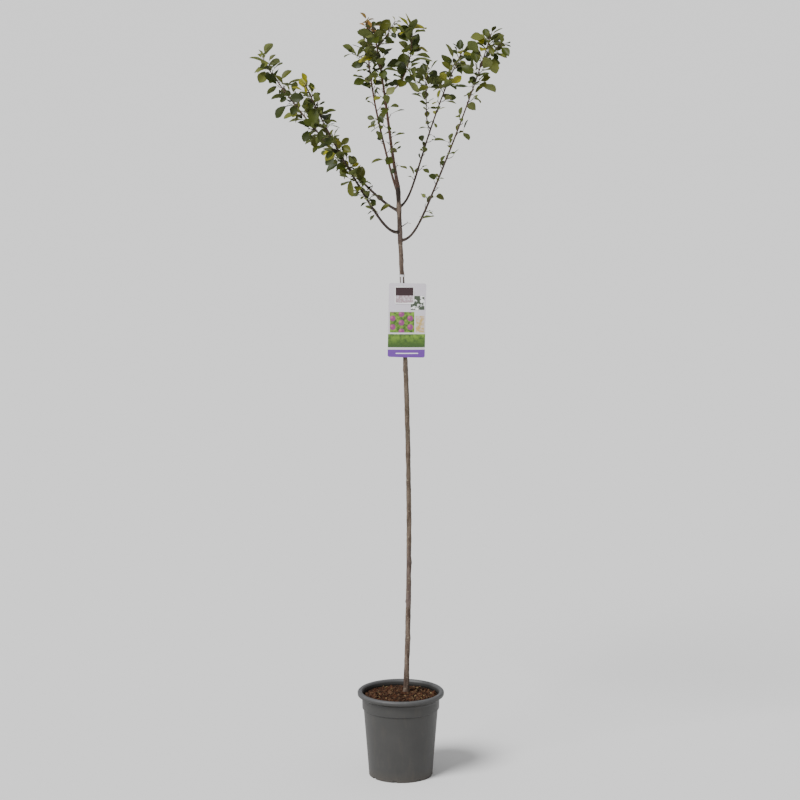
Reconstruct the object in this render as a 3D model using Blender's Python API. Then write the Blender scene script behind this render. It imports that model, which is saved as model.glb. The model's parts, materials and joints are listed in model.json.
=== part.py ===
"""A young plum tree, grown on a clear stem, in a round nursery pot. Metres, +Z up.

The origin is the centre of the pot's flat underside. +X is to the right and +Y away, seen from
the front. The wood is a trunk and six boughs. Each bough carries one mass of foliage, which goes
on from the bough's tip by a seeded rule: spurs along the stem, and leaves round each spur's tip.
"""

from collections import namedtuple
from math import cos, pi, radians, sin

import bmesh
import bpy
import numpy as np

# Clearances
CLEAR = 0.0003
LEAF_CLEAR = 0.003
WOOD_CLEAR = 0.0065
TRUNK_CLEAR = 0.011

# Pot: radii outside, heights above the ground
POT_HEIGHT = 0.262
POT_WALL = 0.0022
RIM_RADIUS = 0.131
RIM_DROP = 0.0145
RIM_ROUND = 0.003
NECK_RADIUS = 0.1182
NECK_DROP = 0.020
COLLAR_RADIUS = 0.1165
COLLAR_BOTTOM = 0.209
SHOULDER_RADIUS = 0.1125
FOOT_RADIUS = 0.0965
FOOT_WIDTH = 0.008
FOOT_HEIGHT = 0.005
BOSS_RADIUS = 0.038
FLOOR_TOP = 0.0075
HOLE_COUNT = 8
HOLE_RADIUS = 0.007
HOLE_CIRCLE = 0.064
HOLE_SIDES = 8
NOTCH_WIDTH = 0.012
NOTCH_HEIGHT = 0.0045
NOTCH_TURN = radians(259.6)
POT_SIDES = 32

# Soil
SOIL_TOP = 0.252
SOIL_EDGE = 0.2435
SOIL_FLAT = 0.045
SOIL_SIDES = 32

# Trunk: its foot stands off the pot's axis, and it bows a little to the right half way up
FOOT = (0.0163, 0.022)
FORK_HEIGHT = 1.788
TRUNK_LEAN = -0.0245
TRUNK_BOW = 0.0170
TRUNK_WAVE = 0.0018
TRUNK_RADIUS = 0.0080
FORK_RADIUS = 0.0064
FLARE = 0.0034
FLARE_HEIGHT = 0.016
BRANCH_COLLAR = 0.0010
BRANCH_COLLAR_HEIGHT = 0.010
TRUNK_SIDES = 10
TRUNK_RINGS = 28
BOUGH_SIDES = 8
BOUGH_RINGS = 8
STEM_SIDES = 5
TWIG_SIDES = 3

# Growth
STEP = 0.006
GOLDEN = radians(137.5)
MOST_LEAVES = 5
SPUR_SHIFT = 0.3
SPUR_TURN = 0.25
SPUR_LEAN = (56, 8)
SPUR_LIFT = 0.15
SPUR_SPAN = (0.5, 1.5)
TIP_SPUR = 0.006
LEAVES_FEW = 2.2
LEAVES_MORE = 2.8
FAN_TURN = 0.3
LEAF_SPREAD = (22, 78)
LEAF_DROOP = 0.25
LEAF_SPAN = (0.75, 1.25)
LEAF_SIZE = (0.82, 0.28)
LEAF_FALL = 0.07
TIP_LEAF = 0.62
LEAF_ROLL = 0.7
SPUR_RADIUS = 0.0019
SPUR_TIP_RADIUS = 0.0016
LEAF_PITCH = 0.003
LEAF_SHOULDER = (0.27, 0.18)
LEAF_WIDEST = (0.66, 0.29)
LEAF_RIDGE = (0.36, 0.0016)
LEAVES_APART = 0.0055
SIBLINGS_APART = radians(38)
BLADE_OFF_WOOD = 0.004

# Label: a card on its own strap round the trunk, with a smaller card before it
LABEL_WIDTH = 0.110
LABEL_TOP = 1.504
LABEL_BOTTOM = 1.283
LABEL_MIDDLE = 0.0180
LABEL_THICK = 0.0010
LABEL_CORNER = 0.004
LABEL_FACE = -0.0056
LABEL_LEAN = radians(-1.2)
STRAP_HEIGHT = 1.526
STRAP_WIDE = 0.006
STRAP_THICK = 0.0012
STRAP_SIDES = 20
TAG_WIDTH = 0.057
TAG_TOP = 1.494
TAG_BOTTOM = 1.443
TAG_MIDDLE = 0.0110

# Each limb: the limb it leaves and where (a height on the trunk, a share of another limb), the way
# it heads, its rise at the start and past the length turn, the nod added by the tip, its length,
# its radii, the share that is bare, the share where leaves thicken, the gaps between spurs before
# and after that, the length of a spur and of a leaf, and the seed of its draws.
Limb = namedtuple(
    "Limb",
    "name parent at heading rise tip_rise turn nod length base_radius tip_radius"
    " bare dense gaps spur leaf seed",
)
LIMBS = (
    Limb("left_low", "trunk", 1.656, 210, -18, 55.5, 0.030, 8.6, 0.551,
         0.0042, 0.0016, 0.17, 0.30, (0.019, 0.0135), 0.014, 0.045, 36),
    Limb("left_high", "trunk", 1.717, 145, 13.7, 38.8, 0.056, 10.5, 0.662,
         0.0040, 0.0015, 0.14, 0.38, (0.025, 0.0135), 0.014, 0.045, 32),
    Limb("leader_left", "trunk", 1.773, 135, 43.9, 68.3, 0.016, 23.2, 0.512,
         0.0036, 0.0018, 0.12, 0.62, (0.026, 0.0120), 0.014, 0.045, 78),
    Limb("leader_right", "trunk", 1.788, 235, 70.8, 80.4, 0.102, -9.7, 0.481,
         0.0052, 0.0018, 0.10, 0.66, (0.030, 0.0125), 0.014, 0.047, 70),
    Limb("right_inner", "trunk", 1.729, 48, 3.6, 66.8, 0.035, -16.1, 0.531,
         0.0034, 0.0014, 0.18, 0.68, (0.036, 0.0120), 0.012, 0.047, 13),
    Limb("right_outer", "trunk", 1.631, 325, -4.7, 64.0, 0.036, 5.9, 0.691,
         0.0036, 0.0014, 0.12, 0.72, (0.042, 0.0110), 0.014, 0.048, 66),
    Limb("leader_shoot", "leader_right", 0.59, 315, 8.6, 157.8, 0.250, -8.1, 0.245,
         0.0020, 0.0010, 0.22, 0.30, (0.020, 0.0130), 0.008, 0.054, 16),
    Limb("leader_top", "leader_right", 0.88, 330, 28.8, 56.3, 0.015, 0, 0.095,
         0.0014, 0.0008, 0.15, 0.20, (0.016, 0.0100), 0.006, 0.034, 57),
    Limb("leader_twig", "leader_left", 0.79, 200, 0, 24.9, 0.015, 0, 0.050,
         0.0014, 0.0008, 0.30, 0.30, (0.014, 0.0100), 0.006, 0.048, 30),
    Limb("inner_side", "right_inner", 0.51, 120, -44, 86, 0.015, 18.7, 0.190,
         0.0018, 0.0010, 0.15, 0.55, (0.030, 0.0100), 0.010, 0.043, 49),
    Limb("outer_tip", "right_outer", 0.89, 350, 41.7, 43.6, 0.250, 0, 0.075,
         0.0014, 0.0008, 0.20, 0.20, (0.012, 0.0100), 0.008, 0.046, 25),
    Limb("outer_fork", "right_outer", 0.90, 40, 17.9, 58, 0.015, 0, 0.060,
         0.0014, 0.0008, 0.20, 0.20, (0.012, 0.0100), 0.008, 0.046, 23),
    Limb("trunk_spur", "trunk", 1.668, 335, 25, 35, 0.010, 0, 0.024,
         0.0014, 0.0010, 0.0, 0.90, (0.030, 0.0300), 0.006, 0.026, 3),
)


def clear_scene():
    """Takes away the startup scene's objects."""
    for found in list(bpy.data.objects):
        bpy.data.objects.remove(found, do_unlink=True)


def material(name, colour, roughness, metallic=0.0):
    """A Principled BSDF in one colour."""
    made = bpy.data.materials.new(name)
    made.use_nodes = True
    shader = made.node_tree.nodes["Principled BSDF"]
    shader.inputs["Base Color"].default_value = (*colour, 1.0)
    shader.inputs["Roughness"].default_value = roughness
    shader.inputs["Metallic"].default_value = metallic
    return made


def place(name, mesh, finish, collection=None):
    """An object that shows mesh in one material."""
    made = bpy.data.objects.new(name, mesh)
    if finish is not None:
        mesh.materials.append(finish)
    (collection or bpy.context.scene.collection).objects.link(made)
    return made


def mesh_of(name, points, faces):
    """A mesh of these points and faces, with its faces turned outwards."""
    made = bpy.data.meshes.new(name)
    made.from_pydata([tuple(map(float, p)) for p in points], [], [list(f) for f in faces])
    shape = bmesh.new()
    shape.from_mesh(made)
    bmesh.ops.recalc_face_normals(shape, faces=shape.faces)
    shape.to_mesh(made)
    shape.free()
    return made


def unit(vectors):
    """Vectors made one long."""
    return vectors / np.linalg.norm(vectors, axis=-1, keepdims=True)


def across(course):
    """Two directions square to each course, the first nearly level."""
    level = unit(np.cross(course, np.array([0.13, 0.07, 1.0])))
    return level, np.cross(level, course)


def tube(name, points, radii, sides, first=None, last=None):
    """A closed tube through points: a ring of corners square to the way at each, and flat ends.
    first and last turn the end rings into other planes."""
    course = np.gradient(points, axis=0)
    if first is not None:
        course[0] = first
    if last is not None:
        course[-1] = last
    course = unit(course)
    side = unit(np.cross(course[0], [0.13, 0.97, 0.2]))
    rings = []
    turns = 2 * pi * np.arange(sides) / sides
    for point, way, radius in zip(points, course, radii):
        side = unit(side - way * np.dot(side, way))
        other = np.cross(way, side)
        rings.append(point + radius * (np.outer(np.cos(turns), side) + np.outer(np.sin(turns), other)))
    corners = np.concatenate(rings)
    faces = [
        (i * sides + k, i * sides + (k + 1) % sides, (i + 1) * sides + (k + 1) % sides, (i + 1) * sides + k)
        for i in range(len(rings) - 1)
        for k in range(sides)
    ]
    faces.append(range(sides))
    faces.append(range(len(corners) - sides, len(corners)))
    return mesh_of(name, corners, faces)


def turned(name, profile, sides):
    """A solid turned about the Z axis from (radius, height) points that start and end on it."""
    shape = bmesh.new()
    corners = [shape.verts.new((radius, 0.0, height)) for radius, height in profile]
    edges = [shape.edges.new(pair) for pair in zip(corners, corners[1:])]
    bmesh.ops.spin(
        shape, geom=corners + edges, cent=(0, 0, 0), axis=(0, 0, 1), angle=2 * pi, steps=sides,
        use_merge=True,
    )
    bmesh.ops.remove_doubles(shape, verts=shape.verts, dist=1e-6)
    bmesh.ops.recalc_face_normals(shape, faces=shape.faces)
    made = bpy.data.meshes.new(name)
    shape.to_mesh(made)
    shape.free()
    return made


def hide_as_tool(thing):
    """Marks a cutter, which isn't a part."""
    thing.hide_render = True
    thing.display_type = "WIRE"


def cut(thing, cutter):
    """Leaves a Boolean difference on thing."""
    step = thing.modifiers.new("cut_" + cutter.name, "BOOLEAN")
    step.operation = "DIFFERENCE"
    step.solver = "EXACT"
    step.object = cutter


def pot_inner_radius(height):
    """The radius inside the pot's wall at a height."""
    heights = [0.0, COLLAR_BOTTOM, POT_HEIGHT]
    radii = [FOOT_RADIUS, SHOULDER_RADIUS, NECK_RADIUS + 0.0006]
    return float(np.interp(height, heights, radii)) - POT_WALL


def pot_profile():
    """The pot's section: up the outside from the middle of the underside, then down the inside."""
    neck = POT_HEIGHT - NECK_DROP
    rim_bottom = POT_HEIGHT - RIM_DROP
    inside_top = pot_inner_radius(neck)
    return [
        (0.0, 0.0),
        (BOSS_RADIUS, 0.0),
        (BOSS_RADIUS + 0.002, FOOT_HEIGHT),
        (FOOT_RADIUS - FOOT_WIDTH - 0.002, FOOT_HEIGHT),
        (FOOT_RADIUS - FOOT_WIDTH, 0.0),
        (FOOT_RADIUS - 0.0015, 0.0),
        (FOOT_RADIUS, 0.0015),
        (FOOT_RADIUS + 0.0006, 0.012),
        (SHOULDER_RADIUS, COLLAR_BOTTOM - 0.002),
        (COLLAR_RADIUS, COLLAR_BOTTOM),
        (COLLAR_RADIUS + 0.0006, neck - 0.006),
        (NECK_RADIUS, neck),
        (RIM_RADIUS - 0.005, rim_bottom),
        (RIM_RADIUS, rim_bottom + RIM_ROUND),
        (RIM_RADIUS, POT_HEIGHT - RIM_ROUND),
        (RIM_RADIUS - RIM_ROUND, POT_HEIGHT),
        (inside_top + 0.0025, POT_HEIGHT - 0.005),
        (inside_top, neck),
        (pot_inner_radius(COLLAR_BOTTOM), COLLAR_BOTTOM),
        (pot_inner_radius(FLOOR_TOP), FLOOR_TOP),
        (0.0, FLOOR_TOP),
    ]


def make_pot():
    """The thin pot of moulded plastic, with its rolled rim, its collar and its drain holes."""
    plastic = material("grey_plastic", (0.08, 0.08, 0.078), 0.5)
    pot = place("pot", turned("pot", pot_profile(), POT_SIDES), plastic)
    shape = bmesh.new()
    for k in range(HOLE_COUNT):
        angle = NOTCH_TURN + 2 * pi * k / HOLE_COUNT
        hole = bmesh.ops.create_cone(
            shape, cap_ends=True, segments=HOLE_SIDES, radius1=HOLE_RADIUS, radius2=HOLE_RADIUS,
            depth=4 * FLOOR_TOP,
        )
        centre = (HOLE_CIRCLE * cos(angle), HOLE_CIRCLE * sin(angle), 0.0)
        bmesh.ops.translate(shape, verts=hole["verts"], vec=centre)
        notch = bmesh.ops.create_cube(shape, size=1.0)
        bmesh.ops.scale(shape, verts=notch["verts"], vec=(3 * FOOT_WIDTH, NOTCH_WIDTH, 2 * NOTCH_HEIGHT))
        bmesh.ops.translate(shape, verts=notch["verts"], vec=(FOOT_RADIUS, 0.0, 0.0))
        turn = np.array([[cos(angle), -sin(angle), 0], [sin(angle), cos(angle), 0], [0, 0, 1]])
        for corner in notch["verts"]:
            corner.co = turn @ np.array(corner.co)
    bmesh.ops.recalc_face_normals(shape, faces=shape.faces)
    mesh = bpy.data.meshes.new("drain_cutter")
    shape.to_mesh(mesh)
    shape.free()
    cutter = place("drain_cutter", mesh, None)
    hide_as_tool(cutter)
    cut(pot, cutter)
    pot.data.shade_smooth()
    pot.data.set_sharp_from_angle(angle=radians(40))


def make_soil():
    """The potting soil: it fills the pot and is heaped a little round the trunk."""
    low = FLOOR_TOP + CLEAR
    profile = [
        (0.0, low),
        (pot_inner_radius(low) - CLEAR, low),
        (pot_inner_radius(COLLAR_BOTTOM) - CLEAR, COLLAR_BOTTOM),
        (pot_inner_radius(SOIL_EDGE) - 2 * CLEAR, SOIL_EDGE),
        (SOIL_FLAT + 0.035, (SOIL_TOP + SOIL_EDGE) / 2 + 0.001),
        (SOIL_FLAT, SOIL_TOP),
        (0.0, SOIL_TOP),
    ]
    place("soil", turned("soil", profile, SOIL_SIDES), material("bark_compost", (0.06, 0.028, 0.015), 0.95))


def trunk_point(height):
    """The trunk's middle at a height: a straight lean, with a bow and a slight second wave."""
    share = (np.asarray(height, float) - SOIL_TOP) / (FORK_HEIGHT - SOIL_TOP)
    bow = TRUNK_BOW * np.sin(pi * share) + TRUNK_WAVE * np.sin(2 * pi * share)
    x = FOOT[0] + TRUNK_LEAN * share + bow
    y = FOOT[1] * (1 - share)
    return np.stack([x, y, height + 0 * share], axis=-1)


def trunk_radius(height):
    """The trunk's radius: an even taper, the root flare, and a collar under each bough."""
    share = (height - SOIL_TOP) / (FORK_HEIGHT - SOIL_TOP)
    radius = TRUNK_RADIUS + (FORK_RADIUS - TRUNK_RADIUS) * share
    radius = radius + FLARE * np.exp(-(height - SOIL_TOP) / FLARE_HEIGHT)
    for limb in LIMBS:
        if limb.parent == "trunk" and limb.bare and limb.name != "leader_right":
            radius = radius + BRANCH_COLLAR * np.exp(-(((height - limb.at) / BRANCH_COLLAR_HEIGHT) ** 2))
    return radius


def trunk_heights():
    """Where the trunk's rings lie: close at the foot and through the crown, wide between."""
    foot = SOIL_TOP + CLEAR + np.array([0.0, 0.006, 0.014, 0.028, 0.050])
    clean = np.linspace(0.34, 1.60, TRUNK_RINGS // 2)
    crown = np.linspace(1.615, FORK_HEIGHT, TRUNK_RINGS // 2)
    return np.concatenate([foot, clean, crown])


def limb_line(start, limb):
    """Points STEP apart from start. The heading stays, and the rise goes from rise to tip_rise
    over the length turn, with nod degrees more at the tip, by the square of the way."""
    count = int(round(limb.length / STEP)) + 1
    way = np.linspace(0, limb.length, count)
    rise = limb.tip_rise + (limb.rise - limb.tip_rise) * np.exp(-way / limb.turn)
    rise = np.radians(rise + limb.nod * (way / limb.length) ** 2)
    heading = radians(limb.heading)
    level = np.cos(rise)
    course = np.stack([level * cos(heading), level * sin(heading), np.sin(rise)], axis=-1)
    hops = (course[1:] + course[:-1]) / 2 * (way[1] - way[0])
    return start + np.vstack([np.zeros(3), np.cumsum(hops, axis=0)])


def limb_lines():
    """The middle line of every limb, by name."""
    lines = {}
    for limb in LIMBS:
        if limb.parent == "trunk":
            start = trunk_point(limb.at)
        else:
            parent = lines[limb.parent]
            start = parent[int(round(limb.at * (len(parent) - 1)))]
        lines[limb.name] = limb_line(start, limb)
    return lines


def at_way(line, length, way):
    """The points and courses of a line at these ways from its start."""
    ways = np.linspace(0, length, len(line))
    course = np.gradient(line, axis=0)
    point = np.stack([np.interp(way, ways, line[:, k]) for k in range(3)], axis=-1)
    course = np.stack([np.interp(way, ways, course[:, k]) for k in range(3)], axis=-1)
    return point, unit(course)


def limb_radius(limb, way):
    """A limb's radius at a way: an even taper from its base to its tip."""
    return limb.base_radius + (limb.tip_radius - limb.base_radius) * np.asarray(way) / limb.length


def thickening(share, limb):
    """0 where the leaves are few, 1 where they stand thick."""
    return np.clip((share - limb.dense) / 0.14 + 0.5, 0, 1)


def grow(limb, line):
    """The limb's spurs and leaves. Spurs follow each other at the golden angle, and a rosette of
    leaves spreads from each spur's tip. The last spur is the limb's own tip."""
    rng = np.random.default_rng(limb.seed)
    ways = []
    way = limb.bare * limb.length + SPUR_SHIFT * limb.gaps[0]
    while way < limb.length - 0.004:
        ways.append(way)
        way += limb.gaps[0] + (limb.gaps[1] - limb.gaps[0]) * thickening(way / limb.length, limb)
    ways = np.array(ways + [limb.length - 0.002])
    n = len(ways)
    share = ways / limb.length
    ways = ways + np.append(rng.uniform(-SPUR_SHIFT, SPUR_SHIFT, n - 1) * limb.gaps[1], 0)
    root, course = at_way(line, limb.length, ways)
    side, back = across(course)
    angle = rng.uniform(0, 2 * pi) + GOLDEN * np.arange(n) + rng.normal(0, SPUR_TURN, n)
    lean = np.radians(rng.normal(*SPUR_LEAN, n))
    lean[-1] = 0.1
    out = side * np.cos(angle)[:, None] + back * np.sin(angle)[:, None]
    spur_course = unit(course * np.cos(lean)[:, None] + out * np.sin(lean)[:, None] + [0, 0, SPUR_LIFT])
    spur_length = limb.spur * rng.uniform(*SPUR_SPAN, n)
    spur_length[-1] = TIP_SPUR
    tip = root + spur_course * spur_length[:, None]

    thick = thickening(share, limb)
    count = np.floor(1 + LEAVES_FEW * rng.random(n) + thick * LEAVES_MORE * rng.random(n)).astype(int)
    count[-1] = MOST_LEAVES
    j = np.arange(MOST_LEAVES)
    phi = rng.uniform(0, 2 * pi, n)[:, None] + GOLDEN * j + rng.normal(0, FAN_TURN, (n, MOST_LEAVES))
    spread = np.radians(rng.uniform(*LEAF_SPREAD, (n, MOST_LEAVES)))
    spread[-1] *= 0.7
    u, v = across(spur_course)
    fan = u[:, None] * np.cos(phi)[..., None] + v[:, None] * np.sin(phi)[..., None]
    leaf_course = spur_course[:, None] * np.cos(spread)[..., None] + fan * np.sin(spread)[..., None]
    leaf_course = unit(leaf_course + np.array([0, 0, -LEAF_DROOP]))
    size = limb.leaf * rng.uniform(*LEAF_SPAN, (n, MOST_LEAVES))
    size = size * (LEAF_SIZE[0] + LEAF_SIZE[1] * thick[:, None]) * (1 - LEAF_FALL * j)
    size[-1] *= TIP_LEAF
    roll = rng.normal(0, LEAF_ROLL, (n, MOST_LEAVES))
    leaf_side = unit(np.cross(leaf_course, np.array([0.05, 0.02, 1.0])))
    face = np.cross(leaf_side, leaf_course)
    face = face * np.cos(roll)[..., None] + leaf_side * np.sin(roll)[..., None]
    back_by = np.minimum(LEAF_PITCH, spur_length / MOST_LEAVES)[:, None] * (j + 0.4)
    leaf_root = tip[:, None] - spur_course[:, None] * back_by[..., None]
    kept = j < count[:, None]
    order = np.lexsort(np.nonzero(kept))
    leaves = {
        "spur": np.nonzero(kept)[0][order],
        "root": leaf_root[kept][order],
        "course": leaf_course[kept][order],
        "face": face[kept][order],
        "length": size[kept][order],
    }
    return {"root": root, "tip": tip}, leaves


def leaf_outline(leaves):
    """Points round each leaf, for the test of its space: its root, sides and tip."""
    along = np.array([0.15, LEAF_SHOULDER[0], LEAF_WIDEST[0], 1.0, LEAF_WIDEST[0], LEAF_SHOULDER[0], 0.5])
    wide = np.array([0.0, LEAF_SHOULDER[1], LEAF_WIDEST[1], 0.0, -LEAF_WIDEST[1], -LEAF_SHOULDER[1], 0.0])
    side = np.cross(leaves["course"], leaves["face"])
    length = leaves["length"][:, None, None]
    points = leaves["root"][:, None] + leaves["course"][:, None] * along[None, :, None] * length
    return points + side[:, None] * wide[None, :, None] * length


def nearest(points, line):
    """How far each of points (n, m, 3) is from a line's nearest point."""
    return np.linalg.norm(points[:, :, None] - line[None, None], axis=-1).min(axis=2)


def family(limb):
    """The name of the limb that stands on the trunk and carries this one."""
    return limb.name if limb.parent == "trunk" else limb.parent


def in_own_space(limb, points, lines):
    """True where all of a leaf's points are nearer to its own stem than to any other limb, and
    clear of the trunk and of the bare bough below."""
    own = [nearest(points, lines[other.name]) for other in LIMBS if family(other) == family(limb)]
    others = [nearest(points, lines[other.name]) for other in LIMBS if family(other) != family(limb)]
    trunk = nearest(points, trunk_point(np.linspace(1.5, FORK_HEIGHT, 49)))
    main = next(other for other in LIMBS if other.name == family(limb))
    bare = lines[main.name][: int(main.bare * len(lines[main.name])) + 1]
    inside = np.min(own, axis=0) + LEAF_CLEAR < np.min(others, axis=0)
    inside &= trunk > TRUNK_CLEAR
    if main.bare:
        inside &= nearest(points, bare) > WOOD_CLEAR
    return inside.all(axis=1)


def leaf_mesh(name, root, course, face, length):
    """A thick leaf of nine faces: flat below, and raised above to a point on its rib."""
    side = np.cross(course, face)
    shoulder, widest = (root + course * share * length for share in (LEAF_SHOULDER[0], LEAF_WIDEST[0]))
    narrow, wide = (side * share * length for share in (LEAF_SHOULDER[1], LEAF_WIDEST[1]))
    points = [
        root, shoulder + narrow, widest + wide, root + course * length, widest - wide, shoulder - narrow,
        root + course * LEAF_RIDGE[0] * length + face * LEAF_RIDGE[1],
    ]
    faces = [(k, (k + 1) % 6, 6) for k in range(6)]
    faces += [(0, 1, 5), (1, 2, 4, 5), (2, 3, 4)]
    return mesh_of(name, points, faces)


def blade_points(leaves):
    """Fifteen points over each blade, from above its stalk to its tip."""
    along = np.repeat([0.30, 0.47, 0.64, 0.81, 0.98], 3)
    wide = np.array([-0.14, 0, 0.14, -0.2, 0, 0.2, -0.22, 0, 0.22, -0.16, 0, 0.16, -0.03, 0, 0.03])
    side = np.cross(leaves["course"], leaves["face"])
    reach = leaves["course"][:, None] * along[None, :, None] + side[:, None] * wide[None, :, None]
    return leaves["root"][:, None] + reach * leaves["length"][:, None, None]


def standing_apart(leaves, inside, wood, taken):
    """The leaves to keep, in their order: those inside their space that cross neither the wood nor
    a leaf already taken, and that part from the kept leaves of their own spur."""
    blades = blade_points(leaves)
    inside = inside & (nearest(blades, wood) > BLADE_OFF_WOOD).all(axis=1)
    kept = []
    for index in np.flatnonzero(inside):
        standing = np.concatenate([taken, blades[kept]])
        gaps = np.linalg.norm(standing[:, None] - blades[index][:, None], axis=-1)
        siblings = [other for other in kept if leaves["spur"][other] == leaves["spur"][index]]
        alike = leaves["course"][siblings] @ leaves["course"][index] > cos(SIBLINGS_APART)
        if gaps.min(initial=1.0) > LEAVES_APART and not alike.any():
            kept.append(index)
    return np.array(kept, int)


def largest_shell(mesh):
    """Keeps the mesh's largest closed shell: loose scraps go, and sealed hollows are filled."""
    shape = bmesh.new()
    shape.from_mesh(mesh)
    bmesh.ops.triangulate(shape, faces=shape.faces)
    unseen = set(shape.faces)
    shells = []
    while unseen:
        shell = {unseen.pop()}
        edge_of = list(shell)
        while edge_of:
            face = edge_of.pop()
            for edge in face.edges:
                for other in edge.link_faces:
                    if other in unseen:
                        unseen.remove(other)
                        shell.add(other)
                        edge_of.append(other)
        shells.append(shell)
    shells.sort(key=len)
    bmesh.ops.delete(shape, geom=[face for shell in shells[:-1] for face in shell], context="FACES")
    shape.to_mesh(mesh)
    shape.free()


def joined(thing, pieces):
    """Fuses the objects of the collection pieces with thing by one Boolean union, applies it and
    removes them."""
    step = thing.modifiers.new("fuse", "BOOLEAN")
    step.operation = "UNION"
    step.operand_type = "COLLECTION"
    step.collection = pieces
    step.solver = "EXACT"
    graph = bpy.context.evaluated_depsgraph_get()
    fused = bpy.data.meshes.new_from_object(thing.evaluated_get(graph), depsgraph=graph)
    thing.modifiers.clear()
    thing.data = fused
    for piece in list(pieces.objects):
        bpy.data.objects.remove(piece, do_unlink=True)
    bpy.data.collections.remove(pieces)
    largest_shell(fused)


def make_mass(limb, lines, finish):
    """One mass of foliage: the stem that goes on from the bough's tip, its side shoots, spurs and
    leaves, fused."""
    start = limb.bare * limb.length + (CLEAR if limb.bare else 0.0)
    count = max(3, int((limb.length - start) / (5 * STEP)))
    ways = np.linspace(start, limb.length, count)
    points, course = at_way(lines[limb.name], limb.length, ways)
    stem_mesh = tube("stem", points, limb_radius(limb, ways), STEM_SIDES, first=course[0])
    mass = place("foliage_" + limb.name, stem_mesh, finish)
    pieces = bpy.data.collections.new("pieces_" + limb.name)
    bpy.context.scene.collection.children.link(pieces)
    members = [member for member in LIMBS if family(member) == limb.name]
    wood = np.concatenate([lines[member.name] for member in members])
    taken = np.zeros((0, 15, 3))
    for member in members:
        line = lines[member.name]
        if member is not limb:
            ways = np.linspace(0, member.length, max(4, int(member.length / (4 * STEP))))
            twig, _ = at_way(line, member.length, ways)
            place("shoot", tube("shoot", twig, limb_radius(member, ways), TWIG_SIDES), None, pieces)
        spurs, leaves = grow(member, line)
        kept = standing_apart(leaves, in_own_space(member, leaf_outline(leaves), lines), wood, taken)
        leaves = {key: value[kept] for key, value in leaves.items()}
        taken = np.concatenate([taken, blade_points(leaves)])
        for index in sorted(set(leaves["spur"])):
            root, tip = spurs["root"][index], spurs["tip"][index]
            radii = [SPUR_RADIUS, SPUR_TIP_RADIUS]
            place("spur", tube("spur", np.array([root, tip]), radii, TWIG_SIDES), None, pieces)
        for root, course, face, length in zip(*map(leaves.get, ("root", "course", "face", "length"))):
            place("leaf", leaf_mesh("leaf", root, course, face, length), None, pieces)
    joined(mass, pieces)
    return mass


def make_wood(lines):
    """The trunk, and the bare stretch of each bough, cut to the trunk's side or top."""
    bark = material("bark", (0.13, 0.10, 0.075), 0.85)
    heights = trunk_heights()
    middle = trunk_point(heights)
    radii = trunk_radius(heights)
    top = unit(middle[-1] - middle[-2])
    place("trunk", tube("trunk", middle, radii, TRUNK_SIDES, first=(0, 0, 1), last=top), bark)
    space = tube("trunk_space", middle, radii + CLEAR, TRUNK_SIDES, first=(0, 0, 1), last=top)
    around = place("trunk_space", space, None)
    hide_as_tool(around)
    beside = make_leader(lines["leader_right"], top, bark)
    for limb in LIMBS:
        if limb.parent != "trunk" or not limb.bare or limb.name == "leader_right":
            continue
        ways = np.linspace(0, limb.bare * limb.length, BOUGH_RINGS)
        points, course = at_way(lines[limb.name], limb.length, ways)
        shape = tube(limb.name, points, limb_radius(limb, ways), BOUGH_SIDES, last=course[-1])
        bough = place("bough_" + limb.name, shape, bark)
        cut(bough, around)
        if limb.name == "leader_left":
            cut(bough, beside)
    return around


def make_leader(line, top, bark):
    """The bough that goes on from the trunk's flat top, and the cutter that clears its side."""
    limb = next(limb for limb in LIMBS if limb.name == "leader_right")
    ways = np.linspace(0, limb.bare * limb.length, BOUGH_RINGS)
    points, course = at_way(line, limb.length, ways)
    radii = limb_radius(limb, ways)
    shape = tube(limb.name, points + top * CLEAR, radii, BOUGH_SIDES, first=top, last=course[-1])
    place("bough_" + limb.name, shape, bark)
    space = tube("leader_space", points, radii + CLEAR, BOUGH_SIDES, first=top, last=course[-1])
    beside = place("leader_space", space, None)
    hide_as_tool(beside)
    return beside


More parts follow.
